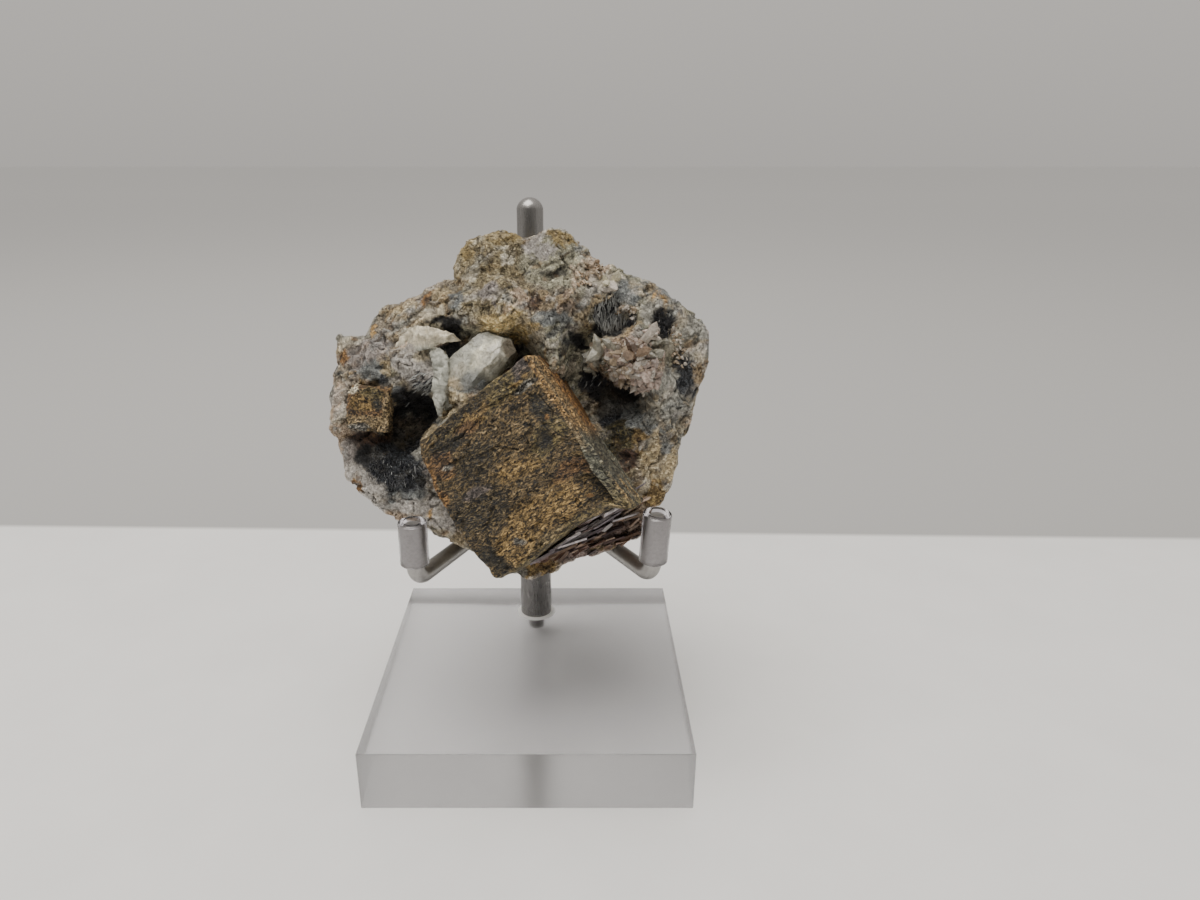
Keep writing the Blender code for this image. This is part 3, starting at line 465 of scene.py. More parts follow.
def cavity(made, rounds=6):
    """How deep each vertex lies among its neighbours, in mm: positive where the surface dips."""
    places = places_of(made) / MM
    normals = normals_of(made)
    ends = np.empty(len(made.data.edges) * 2, dtype=np.int64)
    made.data.edges.foreach_get("vertices", ends)
    ends = ends.reshape(-1, 2)
    count = np.bincount(ends.ravel(), minlength=len(places))[:, None]
    soft = places.copy()
    for _ in range(rounds):
        total = np.zeros_like(soft)
        for axis in range(3):
            total[:, axis] += np.bincount(ends[:, 0], soft[ends[:, 1], axis], len(places))
            total[:, axis] += np.bincount(ends[:, 1], soft[ends[:, 0], axis], len(places))
        soft = 0.5 * soft + 0.5 * total / np.maximum(count, 1)
    return ((soft - places) * normals).sum(axis=1)


# The specimen's own frame

LEAN = Matrix.Rotation(math.radians(90.0 - SPECIMEN_LEAN), 4, "X")
SPECIMEN = Matrix.Translation(Vector(SPECIMEN_PLACE)) @ LEAN


def to_world(places, turn=SPECIMEN):
    """Metres in the world from millimetres in a frame."""
    rows = np.array(turn)
    return (np.asarray(places) @ rows[:3, :3].T + rows[:3, 3]) * MM


def to_specimen(places):
    rows = np.array(SPECIMEN.inverted())
    return np.asarray(places) / MM @ rows[:3, :3].T + rows[:3, 3]


def matrix_shape(directions):
    """Where each direction of a ball lies on the matrix, as in the CAD source."""
    angles = np.arctan2(directions[:, 1], directions[:, 0])
    share = np.hypot(directions[:, 0], directions[:, 1])
    facing = np.abs(directions[:, 2])
    radius = outline_radius(angles) * share
    flat = np.stack([radius * np.cos(angles), radius * np.sin(angles)], axis=1)
    deep = np.concatenate([flat, np.zeros((len(flat), 1))], axis=1)
    shift = np.stack([noise(deep, 6.0, 11), noise(deep, 6.0, 12)], axis=1)
    warped = flat + shift * 1.1 * (1.0 - share[:, None] ** 4)
    front = blended(FACE_FORMS, warped)
    back = blended(BACK_FORMS, warped)
    downward = np.clip(-np.sin(angles) * 1.6, 0.0, 1.0)
    back_rise = SIDE_STEEPNESS + (UNDERSIDE_STEEPNESS - SIDE_STEEPNESS) * downward
    height = np.where(
        directions[:, 2] >= 0, front * facing**SIDE_STEEPNESS, -back * facing**back_rise
    )
    shape = np.concatenate([flat, height[:, None]], axis=1)
    rough = noise(shape, 2.4, 22) * 0.4
    for step, (size, depth) in enumerate(FACET_SIZES):
        rough += cells(shape, size, 30 + 10 * step)[2] * depth
    return shape + directions * rough[:, None] * (0.35 + 0.65 * facing[:, None])


def patch_share(flat, middle, half, turn, edge):
    """How much of each place a patch covers, from 0 to 1."""
    away = flat - np.array(middle)
    angle = math.radians(turn)
    along = away[:, 0] * math.cos(angle) + away[:, 1] * math.sin(angle)
    across = away[:, 1] * math.cos(angle) - away[:, 0] * math.sin(angle)
    reach = np.sqrt((along / half[0]) ** 2 + (across / half[1]) ** 2)
    return 1.0 - smooth_step(1.0 - edge, 1.0 + edge, reach)


def rock_at(places):
    """What the rock is at each place of the specimen, as one row of numbers for each."""
    table = np.array([
        [*srgb(rock[0]), *srgb(rock[1]), *srgb(rock[2]), *rock[3:]] for rock in ROCKS.values()
    ])
    names = list(ROCKS)
    patchy = np.stack([layered(places, 9.0, 200 + 7 * i) for i in range(len(BACK_ROCKS))], axis=1)
    claim = np.exp(patchy * 12.0)
    claim /= claim.sum(axis=1, keepdims=True)
    rock = claim @ table[[names.index(name) for name in BACK_ROCKS]]
    warp = np.stack([layered(places, 3.0, 301, 4), layered(places, 3.0, 331, 4)], axis=1)
    frayed = np.stack([layered(places, 0.9, 341, 3), layered(places, 0.9, 346, 3)], axis=1)
    flat = places[:, :2] + warp * 1.5 + frayed * 0.6
    front = smooth_step(-7.0, -2.0, places[:, 2] + 2.0 * noise(places, 3.0, 350))[:, None]
    veined = np.full(len(places), 1.0)
    for name, u, v, half_u, half_v, turn in FACE_ROCKS:
        share = patch_share(flat, (u, v), (half_u, half_v), turn, ROCK_EDGE)[:, None] * front
        rock = rock * (1.0 - share) + table[names.index(name)] * share
        veined += (VEINS_IN.get(name, 1.0) - veined) * share[:, 0]
    # Streaks of other rock run through all of it
    turned_places = places @ STREAK_TURN
    bent = turned_places + np.stack([noise(places, 3.0, 360 + i) for i in range(3)], axis=1) * 1.4
    for step, (name, most, over) in enumerate(STREAKS):
        veil = layered(bent * np.array([0.5, 1.0, 1.0]), 2.6, 370 + 9 * step, 4)
        share = (smooth_step(over, over + 0.1, veil) * most * veined)[:, None]
        rock[:, :9] = rock[:, :9] * (1.0 - share) + table[names.index(name), :9] * share
    return rock


def keep_clear(places, start, end, radius):
    """Pushes places in the world, in mm, out of a round bar."""
    start, end = np.array(start, float), np.array(end, float)
    along = end - start
    length = np.linalg.norm(along)
    along /= length
    run = (places - start) @ along
    near = start + np.clip(run, 0.0, length)[:, None] * along
    away = places - near
    distance = np.linalg.norm(away, axis=1)
    inside = (distance < radius) & (run > -radius) & (run < length + radius)
    push = np.where(inside, radius / np.maximum(distance, 0.001), 1.0)
    return near + away * push[:, None]


# Materials


def material(name):
    made = bpy.data.materials.new(name)
    made.use_nodes = True
    return made, made.node_tree, made.node_tree.nodes["Principled BSDF"]


def put(tree, socket, value):
    if isinstance(value, bpy.types.NodeSocket):
        tree.links.new(value, socket)
    else:
        socket.default_value = value


def node(tree, kind, inputs=(), **settings):
    """A node with its settings, and its inputs as (name or number, value or socket)."""
    made = tree.nodes.new("ShaderNode" + kind)
    for key, value in settings.items():
        setattr(made, key, value)
    for key, value in inputs:
        put(tree, made.inputs[key], value)
    return made


def maths(tree, operation, *values):
    return node(tree, "Math", enumerate(values), operation=operation).outputs[0]


def blend_colour(tree, share, under, over, way="MIX"):
    inputs = ((0, share), (6, under), (7, over))
    return node(tree, "Mix", inputs, data_type="RGBA", blend_type=way).outputs[2]


def millimetres(tree):
    """The place on an object, in millimetres."""
    place = node(tree, "TexCoord").outputs["Object"]
    scale = ((0, place), (1, (1000.0, 1000.0, 1000.0)))
    return node(tree, "VectorMath", scale, operation="MULTIPLY").outputs[0]


def grain(tree, place, size, detail=3.0, rough=0.6):
    """Noise from 0 to 1 with lumps about size wide, in mm."""
    inputs = (("Vector", place), ("Scale", 1.0 / size), ("Detail", detail), ("Roughness", rough))
    return node(tree, "TexNoise", inputs).outputs[0]


def pebbles(tree, place, size):
    """Voronoi grains about size wide, in mm."""
    return node(tree, "TexVoronoi", (("Vector", place), ("Scale", 1.0 / size)))


def flowing(tree, place, size, reach):
    """Places bent by noise, so that what is drawn on them runs in curved streaks."""
    bend = node(tree, "TexNoise", (("Vector", place), ("Scale", 1.0 / size), ("Detail", 2.0)))
    spread, middle = (2 * reach,) * 3, (-reach,) * 3
    shift = node(
        tree, "VectorMath", ((0, bend.outputs["Color"]), (1, spread), (2, middle)),
        operation="MULTIPLY_ADD",
    ).outputs[0]
    return node(tree, "VectorMath", ((0, place), (1, shift)), operation="ADD").outputs[0]


def thin_lines(tree, value, width):
    """1 along thin lines where the noise crosses its middle value, and 0 elsewhere."""
    away = maths(tree, "ABSOLUTE", maths(tree, "SUBTRACT", value, 0.5))
    return ranged(tree, away, width * 0.3, width, 1.0, 0.0)


def ranged(tree, value, low, high, to_low=0.0, to_high=1.0):
    inputs = ((0, value), (1, low), (2, high), (3, to_low), (4, to_high))
    return node(tree, "MapRange", inputs, clamp=True).outputs[0]


def stored(tree, name):
    return node(tree, "Attribute", attribute_name=name)


def bumped(tree, height, depth, strength=1.0):
    inputs = (("Height", height), ("Distance", depth * MM), ("Strength", strength))
    return node(tree, "Bump", inputs).outputs[0]


def over_share(tree, value, share):
    """1 where the noise is among its highest share of values, and 0 elsewhere."""
    edge = maths(tree, "MULTIPLY_ADD", share, -0.46, 0.70)
    return ranged(tree, maths(tree, "SUBTRACT", value, edge), -0.03, 0.05)


def rock_material():
    """Rock with light and dark flecks, whose colours are stored at the vertices."""
    made, tree, shader = material("rock")
    place = millimetres(tree)
    flow = flowing(tree, place, 2.6, 1.8)
    traits = node(tree, "SeparateColor", ((0, stored(tree, "traits").outputs["Color"]),))
    grains = node(tree, "SeparateColor", ((0, stored(tree, "make").outputs["Color"]),)).outputs[0]
    lighter = over_share(tree, grain(tree, flow, 0.9, 6.0, 0.82), traits.outputs[0])
    darker = over_share(tree, grain(tree, flow, 1.1, 6.0, 0.82), traits.outputs[1])
    threads = thin_lines(tree, grain(tree, flow, 0.8, 3.0, 0.7), 0.05)
    cracks = thin_lines(tree, grain(tree, flow, 1.7, 5.0, 0.75), 0.022)
    colour = blend_colour(
        tree, lighter, stored(tree, "ground").outputs["Color"], stored(tree, "light").outputs["Color"]
    )
    colour = blend_colour(tree, darker, colour, stored(tree, "dark").outputs["Color"])
    threads = maths(tree, "MULTIPLY", threads, ranged(tree, grains, 0.0, 1.0, 0.6, 0.2))
    colour = blend_colour(tree, threads, colour, stored(tree, "light").outputs["Color"])
    colour = blend_colour(
        tree, maths(tree, "MULTIPLY", cracks, 0.6), colour, stored(tree, "dark").outputs["Color"]
    )
    small = pebbles(tree, place, 0.4)
    tone = node(tree, "SeparateColor", ((0, small.outputs["Color"]),)).outputs[0]
    spread = ranged(tree, grains, 0.0, 1.0, 0.3, 0.55)
    shade = maths(tree, "MULTIPLY_ADD", maths(tree, "SUBTRACT", tone, 0.5), spread, 0.5)
    shade = maths(tree, "MULTIPLY", shade, 2.0)
    # Painted shading from the stored cavity value: painted shade in the hollows, painted light on the ridges.
    painted_cavity_shading = stored(tree, "traits").outputs["Alpha"]
    shade = maths(tree, "MULTIPLY", shade, ranged(tree, painted_cavity_shading, 0.0, 1.0, 1.3, 0.34))
    grey = node(tree, "CombineColor", ((0, shade), (1, shade), (2, shade))).outputs[0]
    put(tree, shader.inputs["Base Color"], blend_colour(tree, 1.0, colour, grey, "MULTIPLY"))
    glint = ranged(tree, tone, 0.9, 0.94, 0.0, 0.4)
    put(tree, shader.inputs["Roughness"], maths(tree, "SUBTRACT", traits.outputs[2], glint))
    streaks = grain(tree, flow, 0.7, 5.0, 0.75)
    height = maths(tree, "MULTIPLY", small.outputs[0], ranged(tree, grains, 0.0, 1.0, 0.15, 0.8))
    height = maths(tree, "MULTIPLY_ADD", streaks, 1.8, height)
    put(tree, shader.inputs["Normal"], bumped(tree, height, 0.45))
    return made


def rock_relief(places, grainy, broken):
    """How far the broken rock stands in or out of the CAD's forms."""
    shift = np.stack([noise(places, 3.4, 460 + axis) for axis in range(3)], axis=1)
    bent = places + shift * 0.8
    slabs = bent @ STREAK_TURN * np.array([0.45, 1.0, 0.8])
    _, _, flat_big = cells(slabs, 2.6, 410)
    _, _, flat_small = cells(bent * np.array([1.0, 0.5, 1.0]), 1.1, 420)
    lump, own, _ = cells(places, 0.8, 430)
    rise = broken * (flat_big * 0.75 + flat_small * 0.15)
    rise += grainy * ((0.55 - lump) * 0.28 + own * 0.08)
    rise += layered(slabs, 1.1, 440, 3) * (0.08 + 0.12 * broken)
    # Cracks between the larger blocks
    torn = np.abs(layered(bent, 6.0, 470, 3))
    rise -= smooth_step(0.04, 0.0, torn) * 0.5
    return rise


def make_matrix():
    """The matrix: the CAD's forms with broken facets and grains as fine as its mesh."""
    bm = bmesh.new()
    bmesh.ops.create_uvsphere(bm, u_segments=300, v_segments=180, radius=1.0)
    directions = np.array([vert.co.normalized() for vert in bm.verts])
    for vert, place in zip(bm.verts, matrix_shape(directions)):
        vert.co = place
    made = object_from_bmesh("matrix_rock", bm)
    step = made.modifiers.new("even_mesh", "REMESH")
    step.mode = "VOXEL"
    step.voxel_size = MATRIX_VOXEL * MM
    take_modifiers(made)
    made.data.shade_smooth()
    places = places_of(made) / MM
    rock = rock_at(places)
    places += normals_of(made) * rock_relief(places, rock[:, 12], rock[:, 13])[:, None]
    world = to_world(places)
    world = keep_clear(world / MM, (0.0, POST_Y, 60.0), (0.0, POST_Y, ROD_TOP), ROD_RADIUS + GAP)
    for side in ARMS:
        line = arm_line(side)
        world = keep_clear(world, line[0], line[1], ARM_RADIUS + GAP / 2)
    low, high = (np.array(corner) / MM for corner in cad_box)
    world[:, 0] = np.clip(world[:, 0], low[0], high[0])
    set_places(made, world * MM)
    thin_to(made, MATRIX_TRIANGLES)
    paint_rock(made)
    made.data.materials.append(rock_material())
    return made


def paint_rock(made):
    places = to_specimen(places_of(made))
    rock = rock_at(places)
    shift = np.stack([noise(places, 3.4, 460 + axis) for axis in range(3)], axis=1)
    blocks = cells((places + shift * 1.5) * np.array([0.7, 1.0, 1.0]), 1.5, 420)[1]
    uneven = 1.0 + FACET_TONE * (blocks + cells(places, 0.7, 450)[1] * rock[:, 12])
    for start in (0, 3, 6):
        rock[:, start:start + 3] *= uneven[:, None]
    give(made, "ground", rock[:, 0:3])
    give(made, "light", rock[:, 3:6])
    give(made, "dark", rock[:, 6:9])
    # Painted shading: darker in the hollows and lighter on the ridges, stored as the fourth trait.
    painted_cavity_shading = np.clip(0.35 + cavity(made) * 2.6, 0.0, 1.0)
    give(made, "traits", np.stack([rock[:, 9], rock[:, 10], rock[:, 11], painted_cavity_shading], axis=1))
    give(made, "make", np.repeat(rock[:, 12:13], 3, axis=1))


# The cubes


def box_grid(size, counts):
    """An evenly divided box, as places and faces."""
    counts = np.array(counts)
    grid = np.full(counts + 1, -1)
    shell = np.zeros(counts + 1, bool)
    for axis in range(3):
        ends = [slice(None)] * 3
        for end in (0, -1):
            ends[axis] = end
            shell[tuple(ends)] = True
    spots = np.argwhere(shell)
    grid[tuple(spots.T)] = np.arange(len(spots))
    places = (spots / counts - 0.5) * np.array(size)
    faces = []
    for axis in range(3):
        for end, flip in ((0, True), (-1, False)):
            sheet = np.take(grid, end, axis=axis)
            quads = np.stack([sheet[:-1, :-1], sheet[1:, :-1], sheet[1:, 1:], sheet[:-1, 1:]], -1)
            quads = quads.reshape(-1, 4)
            faces.append(quads[:, ::-1] if flip != (axis == 1) else quads)
    return places, np.concatenate(faces)


def rounded(places, size, edge):
    """Rounds off a box's edges, and says which way each place faces."""
    half = np.array(size) / 2
    core = np.clip(places, -half + edge, half - edge)
    out = places - core
    length = np.linalg.norm(out, axis=1, keepdims=True)
    out = out / np.maximum(length, 0.0001)
    return core + out * np.minimum(length, edge), out


def near_line(places, line):
    """How far each place is from a line of points, across the first two axes."""
    best = np.full(len(places), np.inf)
    for start, end in zip(line, line[1:]):
        start, end = np.array(start, float), np.array(end, float)
        along = end - start
        run = np.clip((places[:, :2] - start) @ along / (along @ along), 0.0, 1.0)
        away = places[:, :2] - start - run[:, None] * along
        best = np.minimum(best, np.hypot(away[:, 0], away[:, 1]))
    return best


def cube_frame(cube):
    turn = Matrix.Rotation(math.radians(cube["turn"]), 4, "Z")
    over = Matrix.Rotation(math.radians(cube["tilt"][0]), 4, "Y")
    down = Matrix.Rotation(math.radians(cube["tilt"][1]), 4, "X")
    back = Matrix.Translation((0.0, 0.0, -cube["size"][2] / 2))
    return SPECIMEN @ Matrix.Translation(cube["place"]) @ turn @ over @ down @ back


# Where the large cube's front corners lie against those of its box: left, top, right and bottom
CUBE_CORNERS = ((1.0, -1.8), (-1.9, 1.8), (1.5, -1.2), (0.7, 0.6))
CUBE_BULGE = 2.0  # how far the lower left edge bows outwards
CUBE_HOLLOW = 2.7  # how far the lower right edge bows inwards
# Colours on the limonite, in sRGB: the ground, its light fibres and its dark flecks, the shares of
# both, and the roughness
LIMONITE = {
    "brown": ((39, 35, 24), (133, 112, 76), (8, 8, 6), 0.36, 0.36, 0.5),
    "ochre": ((58, 46, 27), (161, 134, 86), (13, 11, 8), 0.44, 0.28, 0.6),
    "olive": ((46, 41, 27), (137, 122, 80), (11, 10, 8), 0.36, 0.3, 0.5),
    "green_black": ((20, 21, 16), (105, 92, 64), (5, 5, 5), 0.18, 0.42, 0.45),
    "near_black": ((19, 18, 15), (122, 106, 73), (4, 4, 4), 0.26, 0.44, 0.45),
    "rust_brown": ((52, 38, 24), (138, 107, 71), (13, 9, 7), 0.36, 0.32, 0.6),
    "orange": ((97, 70, 39), (185, 145, 94), (36, 24, 13), 0.3, 0.22, 0.75),
    "grey": ((65, 63, 59), (152, 149, 138), (21, 21, 20), 0.32, 0.24, 0.5),
    "plum_grey": ((47, 42, 39), (122, 111, 105), (13, 12, 12), 0.32, 0.32, 0.5),
    "tan": ((85, 73, 51), (180, 158, 120), (28, 21, 15), 0.34, 0.24, 0.7),
    "grey_green": ((50, 51, 43), (127, 126, 108), (15, 15, 13), 0.32, 0.34, 0.42),
    "rusty_side": ((74, 56, 32), (182, 148, 96), (15, 10, 6), 0.4, 0.36, 0.55),
    "deep_orange": ((82, 53, 24), (171, 125, 70), (23, 14, 7), 0.32, 0.3, 0.6),
    "chalk": ((178, 169, 145), (214, 206, 184), (112, 101, 80), 0.4, 0.2, 0.75),
    "top_brown": ((41, 36, 30), (113, 102, 84), (12, 10, 9), 0.28, 0.28, 0.5),
}

# Where the large cube's front shows each, as (name, x, y, half width, half height, turn)
CUBE_PATCHES = [
    ("olive", 2.9, 15.6, 13.0, 3.2, 0), ("near_black", -4.0, 16.2, 9.0, 1.6, 0),
    ("brown", 2.0, 7.0, 9.0, 5.0, 0), ("ochre", -0.6, 14.0, 4.6, 1.3, 8),
    ("rust_brown", -6.0, 12.6, 5.0, 1.2, 8), ("olive", 9.6, 1.4, 5.0, 2.6, 20),
    ("green_black", 9.0, 1.2, 1.6, 1.8, 0), ("green_black", 12.0, 7.4, 1.8, 3.4, 0),
    ("green_black", -9.4, 12.2, 4.6, 1.8, 0), ("rust_brown", 9.2, -6.6, 4.8, 1.6, 0),
    ("near_black", 10.4, -11.6, 4.0, 3.4, 0), ("ochre", 1.6, -10.8, 8.4, 4.2, 0),
    ("near_black", -9.8, -2.6, 5.8, 5.6, 0), ("near_black", -5.2, 6.2, 5.2, 3.4, 0),
    ("ochre", 0.8, -0.4, 4.4, 2.2, 0), ("ochre", -8.3, -13.2, 3.8, 4.0, 0),
    ("green_black", -13.2, -13.0, 1.8, 3.6, 0), ("rust_brown", -12.4, 9.8, 3.0, 2.4, 0),
    ("orange", -15.3, 7.8, 1.3, 4.2, 0), ("orange", -14.2, 3.6, 0.8, 1.6, 0),
    ("rust_brown", -9.9, 10.3, 1.0, 0.7, 0), ("orange", -11.2, 7.2, 1.1, 0.35, 6),
    ("plum_grey", 13.2, 16.4, 2.8, 2.2, 0), ("ochre", 11.4, 14.6, 2.6, 0.7, 0),
    ("grey", 10.6, 12.8, 2.8, 0.6, 0), ("grey", -10.7, 9.0, 0.9, 0.5, 6),
    ("tan", -12.9, -7.7, 0.7, 0.8, 0), ("grey", -6.9, -13.0, 0.7, 0.7, 0),
    ("tan", 6.1, -0.3, 0.5, 0.6, 0), ("plum_grey", -8.9, 1.4, 2.6, 0.9, 8),
    ("orange", 9.4, -12.9, 0.6, 0.6, 0), ("orange", 11.8, 5.0, 0.4, 0.6, 0),
    ("rust_brown", 12.2, -8.2, 1.0, 0.5, 0), ("tan", 3.4, -8.2, 1.2, 0.4, 0),
]
# Tan seams and dark lines across the front, as (x, y) points
CUBE_SEAMS = [
    [(-9.6, 17.0), (-7.9, 15.6), (-6.4, 15.1), (-5.6, 13.0), (-4.8, 11.9), (-2.6, 11.4), (-0.9, 10.0),
     (1.7, 9.2)],
    [(1.7, 9.2), (3.4, 7.3), (5.2, 7.6), (6.7, 6.4), (7.1, 4.6), (8.0, 3.8), (8.8, 4.3), (10.0, 3.6),
     (11.1, 3.1), (13.0, 3.2)],
    [(10.9, 1.9), (11.3, 0.6), (12.4, -0.3), (13.8, -1.4)],
    [(6.7, 6.4), (8.4, 6.9), (9.6, 5.8)],
    [(-11.2, 0.6), (-9.3, -0.6), (-6.9, -0.3), (-4.4, -2.6), (-1.9, -4.0), (0.6, -4.6), (2.7, -6.2)],
    [(-1.8, 4.4), (0.4, 4.6), (2.5, 3.6), (4.3, 1.2), (6.1, -0.3)],
]
CUBE_CRACKS = [
    [(13.0, 9.4), (13.1, 7.1), (13.3, 5.4), (12.6, 4.4)],
    [(-7.6, 12.2), (-5.4, 12.0), (-3.8, 12.7)],
]
CUBE_STEP = {"start": 3.0, "end": 13.4, "y": 13.5, "slope": -0.06}  # the low step near the top
RIM_LINE = 13.2  # where the main face ends, at the ridge along its right side


def limonite_at(places, patches, warp_size):
    table = {
        name: np.array([*srgb(one[0]), *srgb(one[1]), *srgb(one[2]), *one[3:]])
        for name, one in LIMONITE.items()
    }
    stretched = places * np.array([0.45, 1.0, 1.0])
    warp = np.stack([layered(stretched, 2.4, 501, 4), layered(stretched, 2.4, 531, 4)], axis=1)
    flat = places[:, :2] + warp * warp_size
    found = np.tile(table["brown"], (len(places), 1))
    for name, x, y, half_x, half_y, turn in patches:
        share = patch_share(flat, (x, y), (half_x, half_y), turn, 0.3)[:, None]
        found = found * (1.0 - share) + table[name] * share
    return found, table


def limonite_material(name, fibre):
    """Limonite with felted fibres, mostly along the stored places' first axis."""
    made, tree, shader = material(name)
    place = stored(tree, "own_place").outputs["Vector"]
    place = flowing(tree, place, 1.3, 0.45)
    stretch = node(
        tree, "VectorMath", ((0, place), (1, (1.0 / fibre, 1.0, 1.0))), operation="MULTIPLY"
    ).outputs[0]
    traits = node(tree, "SeparateColor", ((0, stored(tree, "traits").outputs["Color"]),))
    lighter = over_share(tree, grain(tree, stretch, 0.52, 6.0, 0.8), traits.outputs[0])
    darker = over_share(tree, grain(tree, stretch, 0.64, 6.0, 0.8), traits.outputs[1])
    threads = maths(
        tree, "MAXIMUM", thin_lines(tree, grain(tree, stretch, 0.7, 2.0), 0.045),
        thin_lines(tree, grain(tree, place, 0.8, 3.0), 0.032),
    )
    colour = blend_colour(
        tree, maths(tree, "MULTIPLY", lighter, 0.72), stored(tree, "ground").outputs["Color"],
        stored(tree, "light").outputs["Color"],
    )
    colour = blend_colour(tree, darker, colour, stored(tree, "dark").outputs["Color"])
    threads = maths(tree, "MULTIPLY", threads, ranged(tree, traits.outputs[0], 0.15, 0.5, 0.3, 0.95))
    colour = blend_colour(tree, threads, colour, stored(tree, "light").outputs["Color"])
    small = pebbles(tree, stretch, 0.34)
    tone = node(tree, "SeparateColor", ((0, small.outputs["Color"]),)).outputs[0]
    # Painted shading from the stored cavity value: painted shade in the hollows and cracks, painted light on
    # the ridges.
    painted_cavity_shading = stored(tree, "traits").outputs["Alpha"]
    shade = maths(
        tree, "MULTIPLY", ranged(tree, tone, 0.0, 1.0, 0.05, 2.1),
        ranged(tree, painted_cavity_shading, 0.0, 1.0, 1.45, 0.2),
    )
    grey = node(tree, "CombineColor", ((0, shade), (1, shade), (2, shade))).outputs[0]
    put(tree, shader.inputs["Base Color"], blend_colour(tree, 1.0, colour, grey, "MULTIPLY"))
    put(tree, shader.inputs["Roughness"], traits.outputs[2])
    height = maths(tree, "ADD", grain(tree, stretch, 0.35, 4.0, 0.7), small.outputs[0])
    height = maths(tree, "MULTIPLY_ADD", threads, 0.4, height)
    put(tree, shader.inputs["Normal"], bumped(tree, height, 0.3))
    return made


def paint_limonite(made, own, found, painted_cavity_shading):
    give(made, "ground", found[:, 0:3])
    give(made, "light", found[:, 3:6])
    give(made, "dark", found[:, 6:9])
    # The fourth trait is the painted shading.
    give(made, "traits", np.stack([found[:, 9], found[:, 10], found[:, 11], painted_cavity_shading], axis=1))
    give_place(made, "own_place", own)


def cube_outline(own):
    """How far places on the large cube move, so that its front has the outline of the photograph."""
    half = np.array(LARGE_CUBE["size"]) / 2
    across = np.clip(own[:, 0] / half[0] * 0.5 + 0.5, 0.0, 1.0)
    up = np.clip(own[:, 1] / half[1] * 0.5 + 0.5, 0.0, 1.0)
    left, top, right, bottom = CUBE_CORNERS
    shift = np.zeros((len(own), 3))
    for weight, corner in (
        ((1 - across) * up, left), (across * up, top), (across * (1 - up), right),
        ((1 - across) * (1 - up), bottom),
    ):
        shift[:, :2] += weight[:, None] * np.array(corner)
    shift[:, 0] -= CUBE_BULGE * (1.0 - across) * np.sin(math.pi * np.clip(up * 1.1 - 0.1, 0, 1)) ** 0.7
    bow = smooth_step(0.05, 0.8, across) * (1.0 - 0.8 * smooth_step(0.86, 1.0, across))
    shift[:, 1] += CUBE_HOLLOW * bow * (1.0 - up) ** 1.5
    return shift


def rim_line(y):
    """Where the front's right edge breaks off, at each height on the large cube."""
    return RIM_LINE + 1.3 * smooth_step(-8.0, 1.0, y)


def large_cube_relief(own, out):
    """How far the large cube's surface stands in or out, at places in its own frame."""
    half = np.array(LARGE_CUBE["size"]) / 2
    front = smooth_step(0.5, 0.9, out[:, 2])
    right = smooth_step(0.5, 0.9, out[:, 0])
    x, y = own[:, 0], own[:, 1]
    fibres = layered(own * np.array([0.4, 1.0, 1.0]), 0.9, 601, 3)
    side_fibres = layered(own * np.array([1.0, 0.12, 1.0]), 0.8, 611, 3)
    rise = front * fibres * 0.16 + right * side_fibres * 0.42
    rise += layered(own, 5.0, 621, 3) * 0.3 + layered(own, 0.9, 631, 2) * 0.14
    bent = own + np.stack([noise(own, 2.4, 660 + axis) for axis in range(3)], axis=1) * 0.9
    _, flake, plane = cells(bent * np.array([0.6, 1.0, 1.0]), 2.1, 645)
    rise += front * (0.14 * plane + 0.14 * flake)
    pits, number, _ = cells(own, 1.4, 641)
    rise -= front * 0.3 * smooth_step(0.4, 0.9, number) * (1.0 - smooth_step(0.1, 0.42, pits))
    # Beyond the rim the front falls off to the side; before its lower end it is hollowed out
    rim = rim_line(y)
    ragged = noise(own, 1.4, 701) * 0.25
    beyond = smooth_step(rim - 0.35, rim + 0.05, x + ragged) * front
    rise += beyond * layered(own * np.array([1.0, 0.12, 1.0]), 0.7, 615, 2) * 0.16
    rise -= beyond * smooth_step(rim, half[0], x) * 0.5
    sunk = smooth_step(0.0, -12.0, y) * smooth_step(-half[1] + 1.0, -half[1] + 3.4, y)
    inward = smooth_step(rim - 6.0, rim - 0.8, x)
    rise -= front * (1.0 - beyond) * inward * sunk * 2.0
    # The step near the top, and the seams
    step_line = CUBE_STEP["y"] + CUBE_STEP["slope"] * (x - CUBE_STEP["start"])
    on_step = smooth_step(CUBE_STEP["start"] - 2, CUBE_STEP["start"] + 1, x) * (x < CUBE_STEP["end"])
    rise -= front * on_step * smooth_step(0.12, -0.05, y - step_line) * smooth_step(
        -3.2, -0.6, y - step_line
    ) * 0.45
    for line in CUBE_SEAMS:
        broken = smooth_step(-0.2, 0.3, noise(own, 1.6, 712))
        rise += front * (1.0 - smooth_step(0.1, 0.34, near_line(own, line))) * 0.12 * broken
    for line in CUBE_CRACKS:
        rise -= front * (1.0 - smooth_step(0.06, 0.22, near_line(own, line))) * 0.3
    return rise


